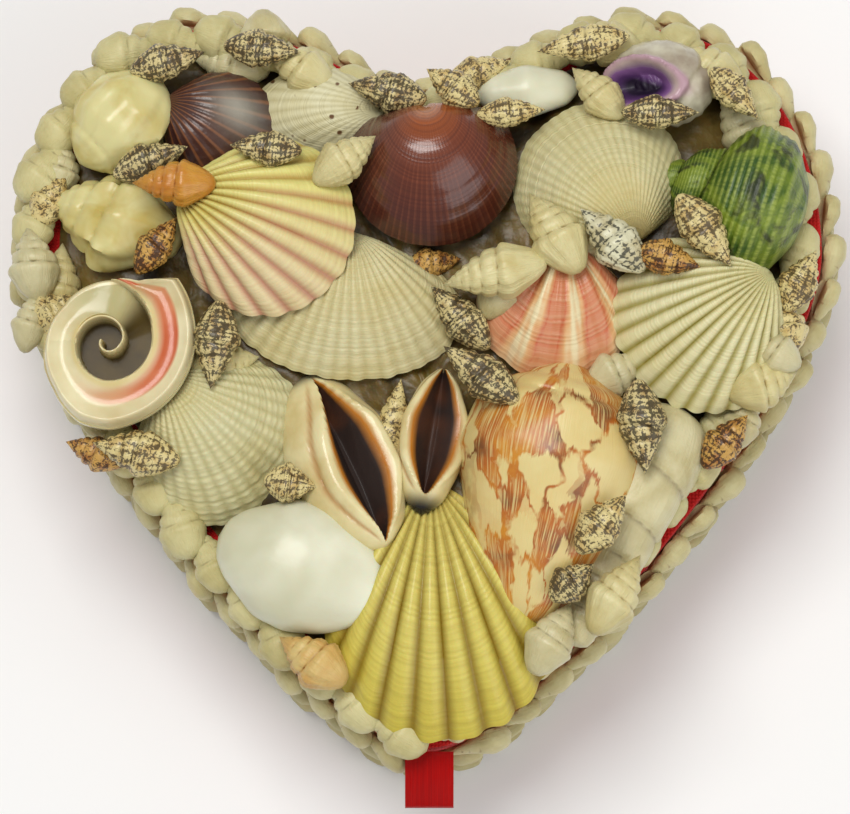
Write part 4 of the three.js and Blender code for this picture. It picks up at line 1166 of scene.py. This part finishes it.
def make_snail():
    """A round shell with its wide violet mouth turned up and aside."""
    width = 18.5
    piece, turn, share = globe("violet_snail_shell", 96, 72)
    polar = share * math.pi
    way = np.column_stack((np.sin(polar) * np.cos(turn), np.sin(polar) * np.sin(turn), np.cos(polar)))
    facing = Vector((-0.55, -0.1, 0.83)).normalized()
    across = Vector((0, 1, 0)).cross(facing).normalized()
    upwards = facing.cross(across)
    level, side, other = (way @ np.array(axis) for axis in (facing, across, upwards))
    away = np.hypot(side / 0.78, (other + 0.18 * side**2) / 0.52)
    away = np.where(level > 0, away, 3)
    dent = 1 - ease(away, 0.72, 1.0)
    lip = np.exp(-(((away - 1.04) / 0.1) ** 2))
    size = (width / 2) * (1 - 0.5 * dent + 0.09 * lip + 0.02 * wobble(way[:, 0] * 3, way[:, 1] * 3, 4))
    seam = np.exp(-((np.abs(way[:, 0] * 0.8 - way[:, 1] * 0.4 - 0.5) / 0.07) ** 2))
    co = way * (size * (1 - 0.07 * seam))[:, None] * np.array((1.12, 0.9, 0.92))
    move_points(piece, co)
    # Painted shade: the mouth is marked darker towards one side as well as deeper in.
    shade = ease(-other - 0.5 * side, -0.35, 0.3)
    mark(piece, "mouth", dent * (0.3 + 0.7 * shade))
    mark(piece, "lip", np.clip(lip * 1.3, 0, 1))
    close_up(piece)
    settle(piece, place_on_lid(0.586, 0.847, 7.5, 90), make_violet_finish(), "purple_snail")


# The sawn whelk's outline and its spiral wall, as distances in millimetres from its axis at angles in degrees
SAWN_EDGE = ((0, 16.2), (18, 16.6), (43, 17.6), (51, 15.4), (63, 12.8), (88, 11.6), (118, 11.2), (141, 10.9),
             (183, 12.0), (221, 13.5), (251, 16.0), (271, 16.4), (290, 15.9), (312, 15.7), (336, 15.8),
             (360, 16.2))
SAWN_WALL = ((173, 1.2), (220, 1.7), (270, 2.1), (336, 2.4), (397, 3.3), (466, 4.7), (508, 5.4), (555, 6.1),
             (624, 7.6), (700, 8.1), (734, 8.5), (770, 9.8), (808, 11.6))


def read_curve(table, degrees):
    at, value = zip(*table)
    return np.interp(degrees, at, value)


def make_sawn_whelk():
    """A whelk sawn across: a broad outer whorl with a salmon band, and a spiral wall curled into a well."""
    thickness, floor, first, last = 9.0, 1.8, SAWN_WALL[0][0], SAWN_WALL[-1][0]
    piece, turn, share = globe("sawn_whelk_shell", 260, 130)
    top = share < 0.75
    about = (turn % TURN) / DEGREE
    edge = read_curve(SAWN_EDGE, about)
    out = np.where(top, np.clip(share / 0.75, 0, 1), np.clip((1 - share) / 0.25, 0, 1) ** 0.7)
    away = out * edge
    nearest = np.full_like(away, 99.0)
    for lap in range(3):
        total = about + lap * 360
        real = (total >= first) & (total <= last)
        nearest = np.where(real, np.minimum(nearest, np.abs(away - read_curve(SAWN_WALL, total))), nearest)
    ridge = np.exp(-((nearest / 0.5) ** 4))
    outer_wall = read_curve(SAWN_WALL, np.where(about + 720 <= last, about + 720, about + 360))
    inner_wall = np.where(about + 720 <= last, read_curve(SAWN_WALL, about + 360), outer_wall)
    share_out = np.clip((away - outer_wall) / np.maximum(edge - outer_wall, 1), 0, 1)
    trough = 1.2 * np.sin(math.pi * np.clip(share_out * 1.2, 0, 1))
    whorl = thickness - trough - 2.6 * ease(share_out, 0.78, 1.0) ** 1.5
    high = np.exp(-((((about - 112 + 180) % 360 - 180) / 62) ** 4))
    terrace = floor + (thickness - floor - 1.6) * high * ease(away - inner_wall, -0.2, 0.5)
    fades = ease(about, 88, 176) * (about < 180)
    beyond = (away > outer_wall) & (about + 720 > last)
    z_top = np.where(away < outer_wall, terrace, whorl)
    z_top = np.where(beyond, terrace + (whorl - terrace) * np.where(about < 180, fades, 1), z_top)
    z_top = np.maximum(z_top, ridge * (thickness - 0.4) * ease(away, 0, 1.2))
    z_side = thickness * 0.7 * np.clip(out, 0, 1) ** 3
    rim = ease(out, 0.93, 1.0) * top
    z = np.where(top, z_top - 1.6 * rim**2, z_side)
    move_points(piece, np.column_stack((away * np.cos(about * DEGREE), away * np.sin(about * DEGREE), z)))
    after_cut = (86 - about) % 360
    strong = 1 - ease(after_cut, 105, 232)
    band_end = 0.6 - 0.12 * ease(after_cut, 90, 200)
    redness = ease(share_out, 0.04, 0.36) * (1 - ease(share_out, band_end - 0.07, band_end + 0.03))
    mark(piece, "band", redness * strong * (away > outer_wall) * top)
    # Painted shade: the lower the top lies in the well, the more the hollow mark darkens it.
    deep = 1 - ease(z_top, floor + 0.5, thickness - 2.4)
    mark(piece, "hollow", deep * top * (1 - ridge))
    mark(piece, "terrace", (away < edge * 0.9) * high * (1 - ridge) * top * (1 - deep) * (1 - fades))
    mark(piece, "warm", np.exp(-((share_out - 0.06) / 0.08) ** 2) * top)
    close_up(piece)
    settle(piece, place_on_lid(-0.789, 0.119, ON_ROW, 90), make_sawn_finish(), "sawn_whelk",
           60)


def make_large_spirals():
    """Large coiled shells: name, node, form, place on the lid, finish and slot."""
    open_finish = make_open_finish()
    porcelain = glossy_finish("white_porcelain", rgb(240, 240, 236), rgb(216, 214, 200), 0.36, 0.25, 45)
    milky = glossy_finish("milky_yellow", rgb(228, 220, 174), rgb(204, 184, 112), 0.3, 0.3, 110)
    blunt = profile_curve((0, 0.2), (0.08, 0.5), (0.3, 0.86), (0.5, 1), (0.68, 0.93), (0.92, 0.5), (1, 0.2))
    tapered = profile_curve((0, 0.35), (0.1, 0.5), (0.4, 0.72), (0.8, 1), (0.95, 0.8), (1, 0.3))
    spirals = [
        ("open_shell_left_half", "open_shell_left", (38, 20, 14, EGG, 96, 96, 0.05, 0.6, 0.02),
         dict(mouth=(0.42, 0.52, 0.0, 0.98, 0.8, 1.6), seed=3, uneven=0.012),
         (-0.21, -0.195, 7.6, 115, -12), open_finish, "ivory_shell"),
        ("open_shell_right_half", "open_shell_right", (29, 12.6, 12.5, EGG, 80, 80, 0.05, 0.6, 0.02),
         dict(mouth=(0.1, 0.86, -0.1, 0.9, 0.8, 1.2), seed=5, dark_end=True, uneven=0.012),
         (0.012, -0.14, 7.8, 81, -11), open_finish, "ivory_shell"),
        ("white_cowrie_shell", "white_cowrie", (34, 24.5, 17, blunt, 72, 60, 0.02, 0.6, 0.0),
         dict(seed=4, uneven=0.008), (-0.303, -0.487, 8.5, -20), porcelain, "white_shell"),
        ("white_bubble_shell", "white_bubble", (20, 10, 9, BUBBLE, 48, 44, 0.03, 0.6, 0.0),
         dict(seed=2, uneven=0.01), (0.252, 0.833, 6, 5), porcelain, "white_shell"),
        ("white_bonnet_shell", "white_bonnet", (22, 18.5, 15, EGG, 64, 56, 0.2, 0.6, 0.08),
         dict(ribs=12, rib_relief=0.05, mouth=(-1.5, 0.35, 0.35, 0.95, 0.3, 1.0), seed=6),
         (-0.769, 0.741, 7, 225), milky, "ivory_shell"),
        ("knobbed_whelk_shell", "knobbed_whelk", (26, 18.5, 14.5, WHELK, 72, 60, 0.42, 0.6, 0.14, 0.75),
         dict(shoulder=(8, 0.12, 0.42, 0.12), ribs=8, rib_relief=0.07, seed=7),
         (-0.78, 0.468, 6, 160), milky, "ivory_shell"),
        ("pale_whelk_shell", "pale_whelk", (49, 17.5, 15, tapered, 64, 90, 0.74, 0.72, 0.1, 0.86),
         dict(seed=8), (0.49, -0.37, 7, 245), WHITE_SPIRE, "ivory_shell"),
    ]
    for name, node, sizes, details, where, finish, slot in spirals:
        settle(spiral_shell(name, *sizes, **details), place_on_lid(*where), finish, node)


def make_small_shells(tops):
    """Small shells: node, heading, length, width, profile, finish, what shapes it, and slot."""
    plain = dict(first=0.5, shrink=0.66, seam=0.2, peak=0.62, ribs=13, rib_relief=0.09, cords=5,
                 cord_relief=0.035)
    chunky = dict(first=0.52, shrink=0.7, seam=0.2, peak=0.7, ribs=11, rib_relief=0.08)
    smooth_one = dict(first=0.5, shrink=0.66, seam=0.14, peak=0.6)
    mixed = [
        ("white_mitre_left", 193, 19, 10, MITRE, CREAM_SPIRE, chunky, "cream_shell"),
        ("white_mitre_right", 122, 17, 10.5, MITRE, CREAM_SPIRE, chunky, "cream_shell"),
        ("orange_whelk", 180, 15, 8.4, MITRE, ORANGE_SPIRE, chunky, "orange_shell"),
        ("banded_cone", 145, 14.5, 9.4, MITRE, PEACH_SPIRE, plain, "orange_shell"),
        ("small_whelk", 58, 16.5, 9.4, MITRE, CREAM_SPIRE, chunky, "ivory_shell"),
        ("white_dog_whelk", 62, 14.5, 9.2, MITRE, WHITE_SPIRE, smooth_one, "white_shell"),
    ]
    headings = [15, -5, 168, 145, 5, 190, 135, 0, -48, 22, 175, 38, 55, -96, 132, 143, 135, -15, -54, -86, 50,
                168, -8, 50, 62, 40]
    lengths = [14, 14, 14.5, 11.5, 12.5, 17, 13, 14, 12.5, 14.5, 13, 14, 12.6, 16, 15.5, 16.5, 16, 12, 16, 17,
               13.5, 16, 9.5, 12.5, 12.5, 10]
    widths = [7, 7, 7.6, 7, 5.6, 6.6, 7.6, 6.3, 6.6, 7.2, 6.6, 8.4, 6.4, 8.5, 7.4, 8, 8.8, 6.8, 8.2, 8.8, 7.8,
              8.4, 7.3, 7, 7.2, 7]
    pale = {4, 5, 6, 9, 12, 19, 21, 22, 23, 25}
    brown = {13, 18, 24}
    for k, (heading, length, width) in enumerate(zip(headings, lengths, widths), 1):
        finish = DARK_SPECKLE
        if k in pale:
            finish = PALE_SPECKLE
        if k in brown:
            finish = BROWN_SPECKLE
        if k == 17:
            finish = BANDED_SPECKLE
        if k in (7, 12):
            finish = CREAM_SPIRE
        shaped = plain if k % 3 else dict(plain, ribs=15, rib_relief=0.12)
        node = f"dove_shell_{k:02d}"
        mixed.append((node, heading, length, width, SPINDLE, finish, shaped, "speckled_shell"))
    for k, (node, heading, length, width, profile, finish, shaped, slot) in enumerate(mixed):
        piece = spiral_shell(node + "_fine", length * 1.04, width * 1.05, width * 0.95, profile, 42, 46,
                             seed=k % 9 + 1, **shaped)
        settle(piece, place_of_node(node, heading, 20 * math.sin(k * 2.1)), finish, node, 60)
        set_down(piece, tops)


def make_border_shells(tops):
    """Odd small shells pressed in along the borders, between the row and the large shells."""
    shapes = dict(first=0.5, shrink=0.66, seam=0.24, peak=0.66)
    odd = [
        (-69.4, 42.7, 8.5, 80, 13, 9, WHITE_SPIRE), (-70.6, 36.2, 8.5, 62, 12, 7.6, PALE_SPECKLE),
        (-73.4, 23.8, 8, 100, 15, 10, WHITE_SPIRE), (-69.2, 20.7, 9.5, 85, 16, 9.6, CREAM_SPIRE),
        (-69.6, 14.8, 8, 35, 11, 9, PALE_SPECKLE), (-74.0, 12.9, 7.5, 80, 12, 7, WHITE_SPIRE),
        (66.2, 12.0, 9, 100, 12, 9.6, PALE_SPECKLE), (64.2, 6.4, 11, 150, 11, 8, WHITE_SPIRE),
        (62.0, 0.8, 8, 20, 14, 11, CREAM_SPIRE), (58.6, -5.4, 9, 70, 13, 8, WHITE_SPIRE),
        (-61.4, -11.7, 9, 160, 12, 7, BROWN_SPECKLE), (9.8, 60.4, 9.5, 20, 13, 7, PALE_SPECKLE),
        (-6.4, -6.6, 7, 80, 18, 7, PALE_SPECKLE), (1.0, 24.0, 7.5, 10, 11, 6.5, BROWN_SPECKLE),
        (-24.0, 61.0, 6, 150, 15, 9, CREAM_SPIRE), (-37.0, 62.5, 5.5, 170, 15, 9, WHITE_SPIRE),
        (52.5, 60.5, 7, 150, 16, 10, CREAM_SPIRE), (59.5, 50.5, 6.5, 120, 16, 10, WHITE_SPIRE),
        (33.0, 66.0, 7, 170, 15, 9, CREAM_SPIRE), (35.0, 3.0, 5.5, 30, 13, 9, WHITE_SPIRE),
        (-38.0, 5.0, 4.5, 10, 14, 9, CREAM_SPIRE), (14.0, 19.0, 5, 60, 14, 9, WHITE_SPIRE),
        (-30.5, 66.5, 7.5, -85, 12, 10, WHITE_SPIRE),
    ]
    borders = []
    for k, (x, y, rise, heading, length, width, finish) in enumerate(odd, 1):
        piece = spiral_shell(f"border_shell_{k:02d}", length, width, width * 0.9, SPINDLE, 32, 36,
                             seed=k % 7 + 1, ribs=10 if k % 2 else 0, rib_relief=0.08, **shapes)
        place = place_on_lid(x / HALF_WIDTH, y / HALF_LENGTH, rise, heading, 0, 15 * math.sin(k))
        settle(piece, place, finish, None, 60)
        set_down(piece, tops, DEEPLY)
        borders.append(piece)
    return borders


def make_glue_bed():
    """Dried glue fills the mound under the shells and shows between them, dark enough to give the gaps
    painted shade.
    """
    piece, turn, share = globe("glue_between_shells", 160, 60)
    top = share < 0.8
    out = np.where(top, share / 0.8, (1 - share) / 0.2)
    path = HeartPath(-5.2)
    edge = path.at(-(turn % TURN) / TURN * path.length)
    co = np.column_stack((edge * out[:, None], np.zeros(len(turn))))
    lumps = wobble(co[:, 0] * 0.12, co[:, 1] * 0.12, 3) + 0.6 * wobble(co[:, 0] * 0.3, co[:, 1] * 0.3, 5)
    rise = 0.8 + 4.8 * (1 - ease(out, 0.72, 1.0)) + 1.1 * lumps * (1 - ease(out, 0.85, 1))
    co[:, 2] = LID_TOP + np.where(top, np.maximum(rise, 0.4), 0.1)
    move_points(piece, co)
    close_up(piece)
    settle(piece, Matrix.Identity(4), GLUE_AND_GAP_SHADE, None, 60)


CARRYING = ("_shell", "_half", "lid_top_shells", "lid_in_cloth", "glue_between_shells")


# Room, light and camera

def make_room():
    alone()
    bpy.ops.mesh.primitive_plane_add(size=6)
    floor = named("pale_floor")
    f = Finish("pale_floor", 0.9)
    cloud = f.noise(f.place(), 3, 2)
    floor.data.materials.append(f.done(f.mix(cloud, (0.93, 0.93, 0.925, 1), (0.95, 0.95, 0.945, 1))))
    world = bpy.data.worlds.new("soft_studio")
    world.use_nodes = True
    world.node_tree.nodes["Background"].inputs[0].default_value = (1, 1, 1, 1)
    world.node_tree.nodes["Background"].inputs[1].default_value = 0.38
    bpy.context.scene.world = world


def add_light(name, at, size, power, colour=(1, 1, 1)):
    alone()
    bpy.ops.object.light_add(type="AREA", location=at)
    light = bpy.context.object
    light.name = name
    light.data.shape = "RECTANGLE"
    light.data.size, light.data.size_y = size
    light.data.energy = power
    light.data.color = colour
    aim = Vector((0, 0, 0.045)) - Vector(at)
    light.rotation_euler = aim.to_track_quat("-Z", "Y").to_euler()


def make_camera():
    """The camera looks down at the lid, a little from the tip's side."""
    elevation = CAMERA_ELEVATION * DEGREE
    back = Vector((0, -math.cos(elevation), math.sin(elevation)))
    data = bpy.data.cameras.new("camera")
    data.sensor_fit = "HORIZONTAL"
    data.sensor_width = 36
    data.lens = CAMERA_LENS
    camera = bpy.data.objects.new("camera", data)
    bpy.context.scene.collection.objects.link(camera)
    camera.location = Vector(CAMERA_TARGET) + back * CAMERA_DISTANCE
    camera.rotation_euler = (math.pi / 2 - elevation, 0, 0)
    data.clip_start, data.clip_end = 0.01, 10
    bpy.context.scene.camera = camera


make_room()
make_camera()
add_light("key", (-0.15, 0.26, 0.92), (0.46, 0.4), 5.2, (1.0, 0.99, 0.965))
add_light("fill", (0.6, -0.5, 0.7), (0.9, 0.8), 3.4)
bpy.context.scene.view_settings.view_transform = "Standard"

make_base()
make_lid()
make_ribbon()
make_rows()
make_valves()
make_volute()
make_turban()
make_snail()
make_sawn_whelk()
make_large_spirals()
make_glue_bed()
carriers = [piece for piece in bpy.data.objects if piece.type == "MESH" and piece.name.endswith(CARRYING)]
borders = make_border_shells(tops_of(carriers))
make_small_shells(tops_of(carriers + borders))
